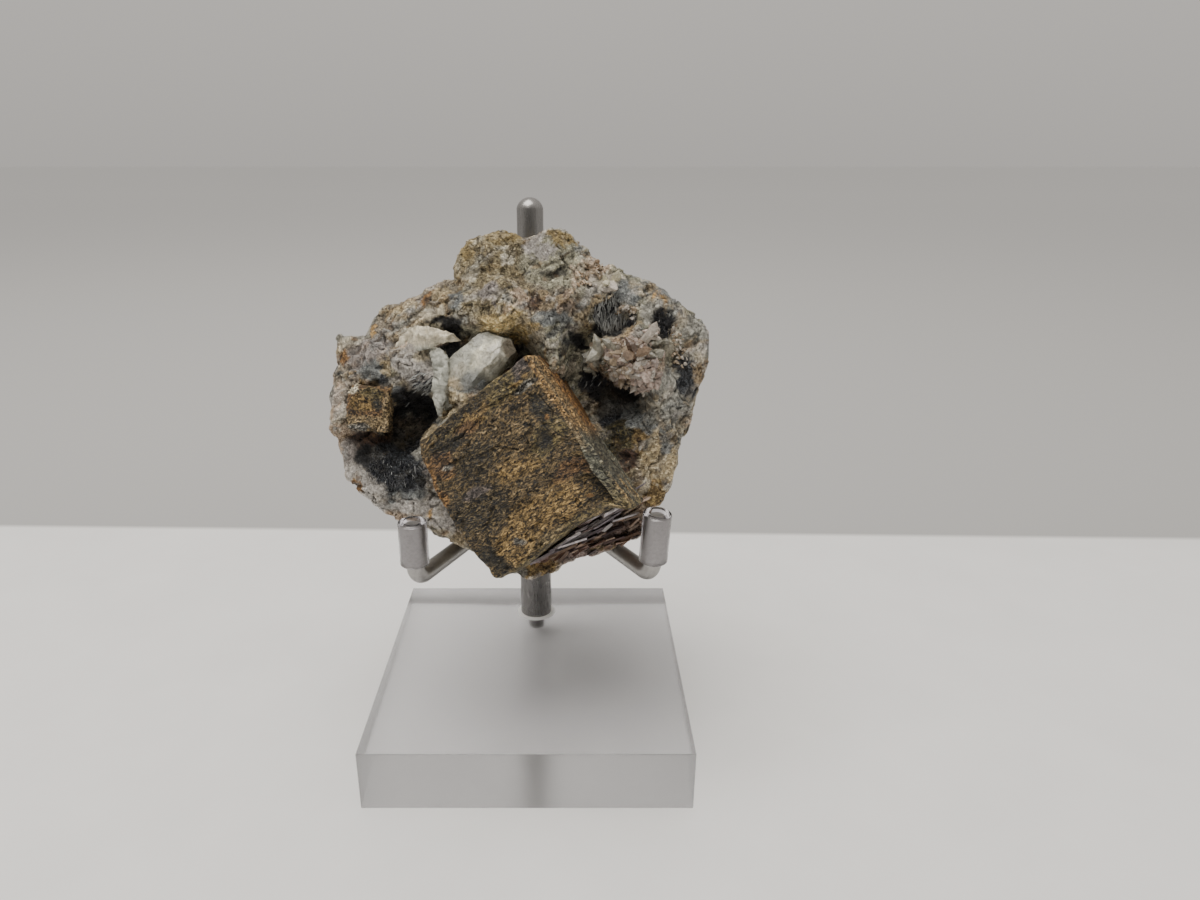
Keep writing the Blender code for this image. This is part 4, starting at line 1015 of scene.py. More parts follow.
def make_large_cube():
    size = LARGE_CUBE["size"]
    places, faces = box_grid(size, (206, 230, 70))
    own, out = rounded(places, size, LARGE_CUBE["edge"])
    wobble = np.stack([layered(own, 4.5, 651 + 9 * axis, 3) for axis in range(3)], axis=1)
    visible = smooth_step(-6.0, 0.0, own[:, 2])[:, None]
    moved = out * large_cube_relief(own, out)[:, None] + wobble * 0.45 + cube_outline(own)
    shape = own + moved * visible
    lower = smooth_step(9.5, 5.0, own[:, 2]) * smooth_step(0.4, 0.9, out[:, 0])
    shape[:, 0] += lower * 1.0 * visible[:, 0]
    made = object_from("limonite_large", to_world(shape, cube_frame(LARGE_CUBE)), faces)
    give_place(made, "own_place", own)
    thin_to(made, CUBE_TRIANGLES)
    own = taken_place(made)
    found, table = limonite_at(own, CUBE_PATCHES, 1.3)
    half = np.array(size) / 2
    x, y, z = own.T

    def cover(name, share):
        found[:] = found * (1.0 - share[:, None]) + table[name] * share[:, None]

    ragged = layered(own * np.array([1.0, 0.2, 1.0]), 1.4, 701) * 0.7
    streak = smooth_step(-0.15, 0.35, layered(own * np.array([1.0, 0.1, 1.0]), 0.6, 705))
    rim = rim_line(y)
    strip = smooth_step(rim - 0.3, rim + 0.2, x + ragged * 0.4)
    cover("grey_green", strip * smooth_step(4.0, 0.0, y + 3.0 * ragged))
    cover("rusty_side", strip * smooth_step(0.0, 4.0, y + 3.0 * ragged))
    cover("tan", strip * streak * smooth_step(9.0, 3.0, y) * smooth_step(-6.0, -1.0, y) * 0.8)
    cover("olive", strip * smooth_step(-10.0, -14.0, y + 3.0 * ragged) * 0.7)
    side = smooth_step(half[0] - 0.6, half[0] - 0.1, x + ragged * 0.4)
    cover("rusty_side", side * smooth_step(-4.0, 2.0, y + 4 * ragged))
    cover("grey_green", side * smooth_step(2.0, -4.0, y + 4 * ragged))
    cover("near_black", side * streak * 0.6)
    cover("deep_orange", side * smooth_step(5.4, 2.6, z + 3.0 * ragged) * smooth_step(-3.0, 2.0, y) * 0.8)
    cover("tan", side * streak * smooth_step(2.0, 6.0, z) * smooth_step(-2.0, 3.0, y) * 0.6)
    cover("ochre", side * smooth_step(-9.0, -13.0, y + ragged) * streak)
    low_side = smooth_step(-half[1] + 0.6, -half[1] + 0.1, y + ragged * 0.4)
    cover("olive", low_side)
    low_edge = smooth_step(-half[1] + 2.4, -half[1] + 1.5, y + ragged) * smooth_step(-9.0, 0.0, x)
    cover("olive", low_edge * 0.8)
    cover("tan", low_edge * smooth_step(-0.1, 0.3, layered(own * np.array([0.1, 1.0, 1.0]), 0.6, 709)) * 0.4)
    for line in CUBE_SEAMS:
        seam = 1.0 - smooth_step(0.06, 0.32, near_line(own, line) + noise(own, 0.9, 711) * 0.2)
        seam *= smooth_step(-0.35, 0.25, noise(own, 1.6, 712))
        cover("tan", seam * smooth_step(half[2] - 1.0, half[2] - 0.5, z) * 0.6)
    # Painted shading: darker in the hollows and lighter on the ridges; the cracks get painted shade too.
    painted_cavity_shading = np.clip(0.4 + cavity(made, 8) * 3.4, 0.0, 1.0)
    for line in CUBE_CRACKS:
        painted_cavity_shading = np.maximum(painted_cavity_shading, 0.9 * (1.0 - smooth_step(0.06, 0.25, near_line(own, line))))
    paint_limonite(made, own, found, painted_cavity_shading)
    made.data.materials.append(limonite_material("limonite", 2.1))
    return made


SMALL_PATCHES = [
    ("rust_brown", 0.0, 1.8, 6.0, 3.6, 0), ("olive", 0.5, 2.6, 2.6, 1.8, 0),
    ("ochre", -1.6, 0.6, 2.2, 1.4, 0), ("tan", -0.2, -3.0, 4.8, 1.4, 0),
    ("grey", -1.6, -3.6, 2.2, 0.7, 0), ("tan", 3.6, -0.4, 0.7, 4.0, 0),
    ("chalk", -3.2, 3.5, 1.1, 1.1, 0), ("green_black", 1.6, 0.6, 1.2, 1.0, 0),
]


def make_small_cube():
    size = SMALL_CUBE["size"]
    places, faces = box_grid(size, (72, 80, 40))
    own, out = rounded(places, size, SMALL_CUBE["edge"])
    rise = layered(own, 2.6, 801, 3) * 0.5 + layered(own, 0.8, 811, 2) * 0.22
    lump, _, _ = cells(own, 0.9, 821)
    rise += (0.5 - lump) * 0.4 * smooth_step(1.5, -1.5, own[:, 1])
    _, chip, _ = cells(own, 2.2, 825)
    near_edge = smooth_step(3.0, 4.1, np.sort(np.abs(own), axis=1)[:, 1])
    rise -= near_edge * smooth_step(0.0, 0.8, chip) * 0.7
    shape = own + out * rise[:, None]
    shape += np.stack([layered(own, 3.0, 831 + axis) for axis in range(3)], axis=1) * 0.45
    made = object_from("limonite_small", to_world(shape, cube_frame(SMALL_CUBE)), faces)
    give_place(made, "own_place", own)
    thin_to(made, SMALL_CUBE_TRIANGLES)
    own = taken_place(made)
    found, _ = limonite_at(own, SMALL_PATCHES, 0.7)
    # Painted shading: darker in the hollows and lighter on the ridges.
    painted_cavity_shading = np.clip(0.3 + cavity(made, 8) * 3.0, 0.0, 1.0)
    paint_limonite(made, own, found, painted_cavity_shading)
    made.data.materials.append(limonite_material("limonite_pale", 1.2))
    return made


# Crystals and fibres that stand on the matrix


class Surface:
    """The matrix's surface, for what grows on it."""

    def __init__(self, made):
        world = places_of(made)
        self.places = to_specimen(world)
        turn = np.array(SPECIMEN)[:3, :3]
        self.normals = normals_of(made) @ turn
        self.front = self.normals[:, 2] > 0.05

    def spots(self, middle, half, turn, count, rng):
        """Random places on the front within an oval, with the way the surface faces there."""
        share = patch_share(self.places[:, :2], middle, half, turn, 0.02)
        found = np.flatnonzero((share > 0.5) & self.front)
        picked = rng.choice(found, size=count, replace=len(found) < count)
        return self.places[picked], self.normals[picked]


def six_sided(place, way, length, radius, spin, tip, lean=0.3):
    """Places and faces of one crystal: a hexagonal column with a point off its middle."""
    way = np.asarray(way, float) / np.linalg.norm(way)
    side = np.cross(way, (0.3, 0.9, 0.2))
    side /= np.linalg.norm(side)
    other = np.cross(way, side)
    ring = [
        side * math.cos(spin + math.tau * k / 6) + other * math.sin(spin + math.tau * k / 6) * 0.8
        for k in range(6)
    ]
    foot = [place - way * length * 0.5 + spoke * radius for spoke in ring]
    neck = [place + way * length * 0.5 + spoke * radius * 0.92 for spoke in ring]
    top = place + way * (length * 0.5 + radius * tip) + ring[0] * radius * lean
    faces = [(k, (k + 1) % 6, 6 + (k + 1) % 6, 6 + k) for k in range(6)]
    faces += [(6 + k, 6 + (k + 1) % 6, 12) for k in range(6)]
    faces.append((5, 4, 3, 2, 1, 0))
    return [*foot, *neck, top], faces


def many(name, shapes, tones, finish, smooth=False):
    """One piece from many small closed shapes, each with its own tone."""
    places, faces, tone = [], [], []
    for (corners, sides), own in zip(shapes, tones):
        start = len(places)
        places += list(corners)
        faces += [tuple(start + k for k in side) for side in sides]
        tone += [own] * len(corners)
    made = object_from(name, to_world(np.array(places)), faces, smooth)
    give(made, "tone", np.array(tone))
    made.data.materials.append(finish)
    return made


def quartz_material(name, roughness, scatter, see_through):
    """Cloudy quartz, tinted by the tone stored at the vertices."""
    made, tree, shader = material(name)
    place = flowing(tree, millimetres(tree), 2.0, 1.2)
    cloud = ranged(tree, grain(tree, place, 1.6, 5.0, 0.7), 0.35, 0.65, 0.6, 1.25)
    speck = ranged(tree, grain(tree, place, 0.5, 4.0, 0.75), 0.35, 0.65, 0.75, 1.2)
    shade = maths(tree, "MULTIPLY", cloud, speck)
    grey = node(tree, "CombineColor", ((0, shade), (1, shade), (2, shade))).outputs[0]
    tone = stored(tree, "tone").outputs["Color"]
    put(tree, shader.inputs["Base Color"], blend_colour(tree, 1.0, tone, grey, "MULTIPLY"))
    rough = ranged(tree, grain(tree, place, 0.8), 0.3, 0.7, roughness * 0.7, roughness * 1.3)
    put(tree, shader.inputs["Roughness"], rough)
    shader.inputs["IOR"].default_value = 1.54
    shader.inputs["Transmission Weight"].default_value = see_through
    shader.inputs["Subsurface Weight"].default_value = scatter
    shader.inputs["Subsurface Radius"].default_value = (1.0, 0.9, 0.8)
    shader.inputs["Subsurface Scale"].default_value = 1.2 * MM
    put(tree, shader.inputs["Normal"], bumped(tree, grain(tree, place, 0.6, 4.0, 0.7), 0.12))
    return made


# Crystals: (middle, half widths, turn, how many, radius from and to, length over radius, colours)
DRUSE = [
    ((22.3, 8.2), (5.2, 4.3), -35, 210, (0.45, 1.2), 1.2, ("druse_pink", "druse_white", "druse_tan")),
    ((22.3, 8.2), (5.8, 4.8), -35, 120, (0.25, 0.55), 2.0, ("druse_pink", "druse_tan", "clear_grey")),
    ((25.2, 5.0), (3.0, 2.2), -35, 110, (0.5, 1.05), 1.3, ("druse_pink", "druse_white", "druse_pink")),
    ((27.0, 12.0), (2.6, 3.6), 20, 16, (0.5, 1.0), 2.0, ("druse_white", "druse_pink", "clear_grey")),
    ((23.4, 10.2), (2.0, 1.6), 0, 7, (0.8, 1.3), 1.7, ("smoky", "smoky_light")),
    ((15.0, 10.0), (2.2, 3.6), 0, 26, (0.5, 1.3), 1.3, ("clear_grey", "clear_grey", "druse_tan")),
    ((18.0, 24.6), (1.8, 2.6), -45, 10, (0.6, 1.4), 1.4, ("pale_yellow", "druse_white")),
    ((14.4, 27.0), (2.2, 4.0), -45, 40, (0.2, 0.6), 1.6, ("pink_tan", "druse_tan")),
    ((32.6, 12.0), (2.0, 4.6), 10, 40, (0.2, 0.5), 1.6, ("druse_tan", "druse_tan", "druse_white")),
    ((21.6, 19.0), (2.2, 1.5), -20, 20, (0.3, 0.7), 1.6, ("druse_white", "druse_tan")),
]
# The largest crystals: (place, turn in the face, length, radius, colour)
CRYSTALS = [
    ((25.7, 13.3, 9.8), 52, 6.6, 1.05, "druse_white"), ((22.2, 11.0, 11.0), 115, 3.4, 1.35, "smoky"),
    ((24.8, 10.0, 11.2), 20, 3.0, 1.15, "smoky_light"), ((28.0, 9.8, 9.0), 20, 1.8, 1.5, "clear_grey"),
    ((25.2, 4.4, 10.4), -75, 2.2, 0.95, "druse_pink"), ((17.6, 12.0, 8.4), 130, 2.4, 1.1, "clear_grey"),
    ((14.8, 9.6, 6.6), -120, 2.6, 1.5, "clear_grey"),
    ((15.4, 12.4, 7.4), 95, 2.6, 1.1, "clear_grey"),
]
TONES = {
    "druse_pink": (196, 177, 164), "druse_white": (212, 203, 190), "druse_tan": (184, 166, 142),
    "clear_grey": (164, 161, 146), "smoky": (112, 92, 76), "smoky_light": (150, 128, 106),
    "pale_yellow": (218, 211, 184), "pink_tan": (200, 174, 146),
}


def make_druse(surface):
    rng = np.random.default_rng(11)
    shapes, tones = [], []
    for place, turn, length, radius, colour in CRYSTALS:
        way = np.array((math.cos(math.radians(turn)), math.sin(math.radians(turn)), 0.6))
        foot = np.array(place) - way * 0.8
        shapes.append(six_sided(foot, way, length, radius, rng.uniform(0, 1), 1.2, 0.6))
        tones.append(srgb(TONES[colour]) * 0.95)
    for middle, half, turn, count, radii, stretch, colours in DRUSE:
        places, ways = surface.spots(middle, half, turn, count, rng)
        for place, way in zip(places, ways):
            radius = radii[0] + (radii[1] - radii[0]) * rng.uniform() ** 1.4
            way = way * 0.5 + rng.normal(0.0, 0.75, 3) + np.array((0.0, 0.0, 0.35))
            length = radius * stretch * rng.uniform(0.7, 1.5)
            place = place + np.array((0.0, 0.0, radius * rng.uniform(0.0, 0.7)))
            spin, tip, lean = rng.uniform(0, 1), rng.uniform(0.7, 1.6), rng.uniform(-0.7, 0.7)
            shapes.append(six_sided(place, way, length, radius, spin, tip, lean))
            tones.append(srgb(TONES[colours[rng.integers(len(colours))]]) * rng.uniform(0.65, 1.2))
    return many("druse", shapes, tones, quartz_material("druse_quartz", 0.2, 0.12, 0.25))


def needle(place, way, length, width, bend, rng):
    """Places and faces of one thin fibre that narrows to its ends."""
    way = np.asarray(way, float) / np.linalg.norm(way)
    side = np.cross(way, rng.normal(0, 1, 3))
    side /= np.linalg.norm(side)
    other = np.cross(way, side)
    rings = []
    for share, thick in ((0.0, 0.8), (0.5, 1.0), (0.85, 0.7)):
        middle = place + way * length * share + side * bend * length * share**2
        for k in range(4):
            angle = math.tau * k / 4
            rings.append(middle + (side * math.cos(angle) + other * math.sin(angle)) * width * thick)
    tip = place + way * length + side * bend * length
    faces = [(3, 2, 1, 0)]
    for ring in (0, 4):
        faces += [(ring + k, ring + (k + 1) % 4, ring + 4 + (k + 1) % 4, ring + 4 + k) for k in range(4)]
    faces += [(8 + k, 8 + (k + 1) % 4, 12) for k in range(4)]
    return [*rings, tip], faces


# Tufts of fibres: (middle, half widths, turn, the way they point, how many, length from and to,
# half width, spread, share of pale ones)
FIBRES = [
    ((18.2, 17.6), (3.2, 3.2), 0, (-0.1, 1.0, 0.55), 420, (1.6, 3.4), 0.09, 0.2, 0.8),
    ((22.3, 17.2), (1.3, 1.4), 0, (0.1, 1.0, 0.5), 70, (1.0, 2.0), 0.10, 0.2, 0.3),
    ((14.6, 4.6), (2.8, 1.4), 0, (0.5, 0.9, 0.6), 70, (1.2, 2.4), 0.09, 0.2, 0.2),
    ((-19.4, 4.6), (2.4, 2.2), 20, (-0.9, -0.6, 0.5), 170, (1.0, 2.2), 0.09, 0.25, 0.6),
    ((-24.0, -9.2), (3.0, 1.2), -45, (0.8, -0.8, 0.25), 60, (2.6, 4.8), 0.08, 0.08, 0.9),
    ((-27.2, -13.4), (5.6, 3.4), 0, (0.3, -0.9, 0.3), 360, (0.9, 2.2), 0.09, 0.35, 0.12),
    ((-24.0, -3.4), (4.4, 5.4), -20, (-0.3, -0.6, 0.8), 120, (0.8, 1.8), 0.10, 0.5, 0.02),
    ((29.4, 16.2), (1.8, 3.4), 10, (0.2, 0.6, 0.8), 120, (0.7, 1.5), 0.12, 0.4, 0.1),
]


def make_fibres(surface):
    rng = np.random.default_rng(23)
    shapes, tones = [], []
    dark, pale = srgb((40, 42, 48)), srgb((170, 172, 170))
    for middle, half, turn, way, count, lengths, width, spread, share in FIBRES:
        places, ways = surface.spots(middle, half, turn, count, rng)
        for place, out in zip(places, ways):
            heading = np.array(way) + out * 0.25 + rng.normal(0.0, spread, 3)
            length = rng.uniform(*lengths)
            shapes.append(needle(place - out * 0.3, heading, length, width * rng.uniform(0.6, 1.3),
                                 rng.normal(0, 0.08), rng))
            tone = pale if rng.random() < share else dark
            tones.append(tone * rng.uniform(0.3, 1.35))
    finish, tree, shader = material("black_fibre")
    place = millimetres(tree)
    tone = stored(tree, "tone").outputs["Color"]
    shade = ranged(tree, grain(tree, place, 0.3), 0.3, 0.7, 0.6, 1.5)
    grey = node(tree, "CombineColor", ((0, shade), (1, shade), (2, shade))).outputs[0]
    put(tree, shader.inputs["Base Color"], blend_colour(tree, 1.0, tone, grey, "MULTIPLY"))
    put(tree, shader.inputs["Roughness"], ranged(tree, grain(tree, place, 0.6), 0.3, 0.7, 0.22, 0.5))
    return many("black_fibres", shapes, tones, finish)


LENS_FACES = [
    ((0.0, 0.0, 1.0), 0.84), ((0.55, 0.25, 0.8), 0.84), ((0.9, -0.25, 0.45), 0.76),
    ((-0.4, 0.5, 0.8), 0.86), ((-0.75, -0.2, 0.65), 0.9), ((0.15, -0.75, 0.65), 0.76),
    ((0.0, 1.0, 0.12), 0.98), ((0.65, 0.76, 0.1), 0.97), ((0.95, 0.3, 0.1), 0.76),
    ((0.99, -0.15, 0.0), 0.78), ((0.45, -0.89, 0.1), 0.74), ((-0.31, -0.95, 0.1), 0.78),
    ((-0.93, 0.36, 0.2), 0.92),
]
LENS_BALL = 1.3  # how large the ball is before its planes are cut
QUARTZ_LENS = {"place": (-8.2, 8.1, 4.8), "half": (10.0, 5.3, 4.4), "turn": 40.0}


def make_lens():
    """The large grey-white lens of quartz above the cube: a ball cut by flat planes."""
    bm = bmesh.new()
    bmesh.ops.create_icosphere(bm, subdivisions=6, radius=1.0)
    places = np.array([vert.co for vert in bm.verts]) * LENS_BALL
    for way, reach in LENS_FACES * 3:
        way = np.array(way) / np.linalg.norm(way)
        over = np.maximum(places @ way - reach, 0.0)
        places -= over[:, None] * way
    places = places * np.array(QUARTZ_LENS["half"])
    _, _, plane = cells(places, 2.6, 911)
    places += np.stack([layered(places, 2.0, 901 + 5 * i, 3) for i in range(3)], axis=1) * 0.22
    places[:, 2] += plane * 0.16
    turn = Matrix.Translation(QUARTZ_LENS["place"]) @ Matrix.Rotation(
        math.radians(QUARTZ_LENS["turn"]), 4, "Z"
    )
    for vert, place in zip(bm.verts, to_world(places, SPECIMEN @ turn)):
        vert.co = place / MM
    made = object_from_bmesh("quartz_lens", bm)
    made.data.set_sharp_from_angle(angle=math.radians(24.0))
    ground = np.tile(srgb((176, 176, 164)), (len(places), 1))
    for colour, spot, half in (
        ((232, 228, 204), (2.4, 1.0), (3.6, 1.5)), ((214, 211, 196), (3.4, -0.8), (3.8, 2.0)),
        ((150, 152, 148), (-4.4, -2.4), (3.2, 2.4)), ((136, 128, 112), (6.6, -1.6), (1.8, 1.8)),
        ((172, 168, 152), (-5.0, 1.6), (2.6, 1.6)), ((196, 180, 150), (-7.2, 0.4), (1.4, 2.4)),
    ):
        bent = places[:, :2] + 1.1 * layered(places, 1.8, 920, 4)[:, None]
        share = patch_share(bent, spot, half, 0, 0.4)
        ground = ground * (1 - share[:, None]) + srgb(colour) * share[:, None]
    ground *= 1.0 + 0.14 * cells(places, 1.3, 930)[1][:, None]
    give(made, "tone", ground)
    made.data.materials.append(quartz_material("lens_quartz", 0.3, 0.25, 0.05))
    return made


# The white blade's arch and stalk: lines of (u, v, w, half width)
BLADE_LINES = [
    [(-26.5, 10.4, 4.4, 1.4), (-24.2, 11.8, 5.6, 2.2), (-21.8, 12.9, 6.3, 2.5), (-19.2, 13.3, 6.8, 2.1),
     (-16.8, 13.6, 7.0, 1.6), (-14.6, 13.4, 7.0, 1.1), (-13.4, 13.1, 6.9, 0.7), (-12.4, 12.9, 6.8, 0.3)],
    [(-18.4, 12.0, 5.4, 0.6), (-17.6, 10.4, 6.4, 1.5), (-16.5, 8.0, 6.7, 1.7), (-16.1, 5.8, 6.7, 1.7),
     (-16.9, 3.4, 6.5, 1.7), (-16.7, 0.4, 6.1, 1.5), (-16.8, -2.6, 5.2, 0.8)],
]
BLADE_FACETS = (1.6, 0.42)  # how wide the blade's broken facets are, and how far they stand
BLADE_STEPS = 110
BLADE_DEPTH = 0.75


def make_blade():
    """The white blade, whose parts are swept along their lines and broken into facets."""
    around = 40
    places, faces = [], []
    for line in BLADE_LINES:
        line = np.array(line)
        steps = np.linspace(0, len(line) - 1, BLADE_STEPS)
        path = np.stack([np.interp(steps, np.arange(len(line)), line[:, k]) for k in range(4)], axis=1)
        for _ in range(20):
            path[1:-1] = 0.5 * path[1:-1] + 0.25 * (path[:-2] + path[2:])
        first = len(places)
        for i, (u, v, w, half) in enumerate(path):
            along = path[min(i + 1, len(path) - 1), :3] - path[max(i - 1, 0), :3]
            side = np.cross(along, (0.0, 0.0, 1.0))
            side /= np.linalg.norm(side)
            ends = math.sin(math.pi * (i + 0.5) / len(path)) ** 0.3
            for k in range(around):
                angle = math.tau * k / around
                wide, deep = math.cos(angle), math.sin(angle)
                flat = max(abs(wide) ** 4, abs(deep) ** 4) ** -0.25
                roof = 1.0 - 0.5 * max(wide * flat, 0.0)
                places.append(
                    np.array((u, v, w)) + side * wide * flat * half * ends
                    + np.array((0.0, 0.0, 1.0)) * deep * flat * BLADE_DEPTH * ends * roof
                )
        for i in range(len(path) - 1):
            for k in range(around):
                a, b = first + i * around + k, first + i * around + (k + 1) % around
                faces.append((a, b, b + around, a + around))
        faces.append(tuple(range(first, first + around))[::-1])
        faces.append(tuple(range(len(places) - around, len(places))))
    places = np.array(places)
    size, depth = BLADE_FACETS
    _, number, plane = cells(places * np.array([1.0, 0.7, 1.0]), size, 941)
    places += np.stack([layered(places, 1.9, 951 + 5 * i, 4) for i in range(3)], axis=1) * 0.6
    places[:, 2] += plane * depth
    made = object_from("white_blade", to_world(places), faces)
    tone = np.tile(srgb((214, 205, 182)), (len(places), 1))
    low = smooth_step(12.2, 10.8, places[:, 1])[:, None]
    tone = tone * (1 - low) + srgb((180, 181, 170)) * low
    tone *= 1.0 + 0.14 * number[:, None]
    give(made, "tone", tone * (1.0 + 0.25 * layered(places, 0.8, 970, 3)[:, None]))
    made.data.materials.append(quartz_material("blade_quartz", 0.5, 0.2, 0.0))
    return made


# The flaky ledge below the cube: plates from one point to another, with their colour
LEDGE = {"start": (4.0, -31.4), "end": (25.0, -20.4), "depth": (5.0, 10.5), "plates": 150}
LEDGE_TONES = {
    "upper": ((150, 140, 144), (196, 190, 192), (120, 112, 118), (214, 209, 208), (168, 146, 142)),
    "lower": ((92, 72, 68), (70, 54, 54), (118, 92, 74), (104, 78, 66), (140, 118, 100)),
    "right": ((178, 158, 140), (196, 178, 158), (150, 128, 112), (170, 148, 134), (140, 112, 92)),
}


def make_ledge():
    rng = np.random.default_rng(41)
    start, end = np.array(LEDGE["start"]), np.array(LEDGE["end"])
    along = (end - start) / np.linalg.norm(end - start)
    across = np.array((along[1], -along[0]))
    shapes, tones = [], []
    for _ in range(LEDGE["plates"]):
        share = rng.uniform(0.02, 0.98)
        low = rng.uniform(0.0, 1.0)
        rise = 3.6 * smooth_step(0.0, 0.75, np.array(share))
        down = low * (1.2 + rise + 4.6 * smooth_step(0.0, 0.6, np.array(share))) - rise
        middle = start + (end - start) * share + across * down
        half = np.array((rng.uniform(1.4, 3.6) * (1.3 - 0.6 * low), rng.uniform(0.12, 0.32)))
        deep = rng.uniform(*LEDGE["depth"]) - max(down, -1.0) * 0.9
        tilt = rng.normal(0.0, 0.05 + 0.16 * low)
        lengthwise = along * math.cos(tilt) + across * math.sin(tilt)
        sideways = np.array((lengthwise[1], -lengthwise[0]))
        corners = []
        for height, narrow in ((-3.0, 1.0), (0.0, 0.86)):
            for a, b in ((-1, -1), (1, -1), (1, 1), (-1, 1)):
                jag = rng.uniform(0.7, 1.15)
                spot = middle + lengthwise * a * half[0] * narrow * jag + sideways * b * half[1]
                corners.append(np.array((*spot, deep + height + rng.uniform(-0.3, 0.3))))
        faces = [(3, 2, 1, 0), (4, 5, 6, 7)] + [(k, (k + 1) % 4, 4 + (k + 1) % 4, 4 + k) for k in range(4)]
        shapes.append((corners, faces))
        kind = "right" if share > 0.8 and low > 0.3 else ("upper" if low < 0.5 else "lower")
        tones.append(srgb(LEDGE_TONES[kind][rng.integers(5)]) * rng.uniform(0.75, 1.15))
    return many("flaky_ledge", shapes, tones, quartz_material("ledge_flakes", 0.4, 0.0, 0.0))


# The stand


def turned(name, profile, place):
    """A turned piece from a profile of (radius, height), smooth but for its hard corners."""
    bm = bmesh.new()
    points = [bm.verts.new((radius, 0.0, height)) for radius, height in profile]
    for upper, lower in zip(points, points[1:]):
        bm.edges.new((upper, lower))
    made = object_from_bmesh(name, bm)
    made.location = Vector(place) * MM
    screw = made.modifiers.new("turn", "SCREW")
    screw.steps = screw.render_steps = TURN_STEPS
    screw.use_merge_vertices = True
    screw.merge_threshold = 0.000001
    take_modifiers(made)
    made.data.transform(made.matrix_basis)
    made.matrix_basis = Matrix()
    made.data.shade_smooth()
    made.data.set_sharp_from_angle(angle=math.radians(30.0))
    return made


def arc(centre, radius, start, end, steps):
    """Points of (radius, height) on an arc, with angles in degrees from +X."""
    angles = [math.radians(start + (end - start) * i / steps) for i in range(steps + 1)]
    return [(centre[0] + radius * math.cos(a), centre[1] + radius * math.sin(a)) for a in angles]


def arm_line(side, steps=24):
    """The middle line of an arm: level from the collar, then round a bend and up."""
    arm = ARMS[side]
    post = Vector((0.0, POST_Y, ARM_HEIGHT))
    foot = Vector((*arm["foot"], ARM_HEIGHT))
    out = (foot - post).normalized()
    lean = math.radians(arm["lean"])
    up = Vector((out.x * math.sin(lean), out.y * math.sin(lean), math.cos(lean)))
    turn = math.acos(out.dot(up))
    bend_start = foot - out * ARM_BEND * math.tan(turn / 2)
    centre = bend_start + Vector((0.0, 0.0, ARM_BEND))
    points = [post + out * ARM_START]
    for i in range(steps + 1):
        angle = turn * i / steps
        points.append(centre + (out * math.sin(angle) - Vector((0.0, 0.0, math.cos(angle)))) * ARM_BEND)
    points.append(points[-1] + up * (arm["top"] - SLEEVE_RIM - points[-1].z) / up.z)
    return points


def swept(name, line, radii, around=48):
    """A round bar along a line of points, with a radius at each, closed at its ends."""
    places, faces = [], []
    normal = None
    for i, point in enumerate(line):
        along = (line[min(i + 1, len(line) - 1)] - line[max(i - 1, 0)]).normalized()
        if normal is None:
            normal = along.orthogonal().normalized()
        normal = (normal - along * normal.dot(along)).normalized()
        other = along.cross(normal)
        for k in range(around):
            angle = math.tau * k / around
            places.append(point + (normal * math.cos(angle) + other * math.sin(angle)) * radii[i])
    for i in range(len(line) - 1):
        for k in range(around):
            a, b = i * around + k, i * around + (k + 1) % around
            faces.append((a, b, b + around, a + around))
    faces.append(tuple(range(around))[::-1])
    faces.append(tuple(range(len(places) - around, len(places))))
    made = object_from(name, np.array(places) * MM, faces)
    made.data.set_sharp_from_angle(angle=math.radians(35.0))
    return made


def steel_material(name, stretch, shade, rough):
    """Brushed stainless steel, with its scratches along one axis and its shade from and to."""
    made, tree, shader = material(name)
    place = node(
        tree, "VectorMath", ((0, millimetres(tree)), (1, stretch)), operation="MULTIPLY"
    ).outputs[0]
    scratch = grain(tree, place, 0.12, 4.0, 0.7)
    smudge = grain(tree, millimetres(tree), 5.0, 3.0)
    shade = ranged(tree, scratch, 0.3, 0.7, *shade)
    warm = node(
        tree, "CombineColor", ((0, shade), (1, maths(tree, "MULTIPLY", shade, 0.975)),
                               (2, maths(tree, "MULTIPLY", shade, 0.945))),
    ).outputs[0]
    put(tree, shader.inputs["Base Color"], warm)
    shader.inputs["Metallic"].default_value = 1.0
    rough = maths(tree, "ADD", ranged(tree, scratch, 0.3, 0.7, rough, rough + 0.1),
                  ranged(tree, smudge, 0.35, 0.65, 0.0, 0.08))
    put(tree, shader.inputs["Roughness"], rough)
    put(tree, shader.inputs["Normal"], bumped(tree, scratch, 0.006))
    return made


def clear_material(name, colour, roughness, ior, clear, dust):
    """A clear plastic with a little dust on it."""
    made, tree, shader = material(name)
    speck = ranged(tree, grain(tree, millimetres(tree), 0.5, 5.0, 0.7), 0.66, 0.74)
    shader.inputs["Base Color"].default_value = (*srgb(colour), 1.0)
    shader.inputs["IOR"].default_value = ior
    shader.inputs["Transmission Weight"].default_value = clear
    put(tree, shader.inputs["Roughness"], maths(tree, "MULTIPLY_ADD", speck, dust, roughness))
    return made


def let_light_through(*pieces):
    """A clear piece throws no shadow, so that what lies under it is lit."""
    for piece in pieces:
        piece.visible_shadow = False


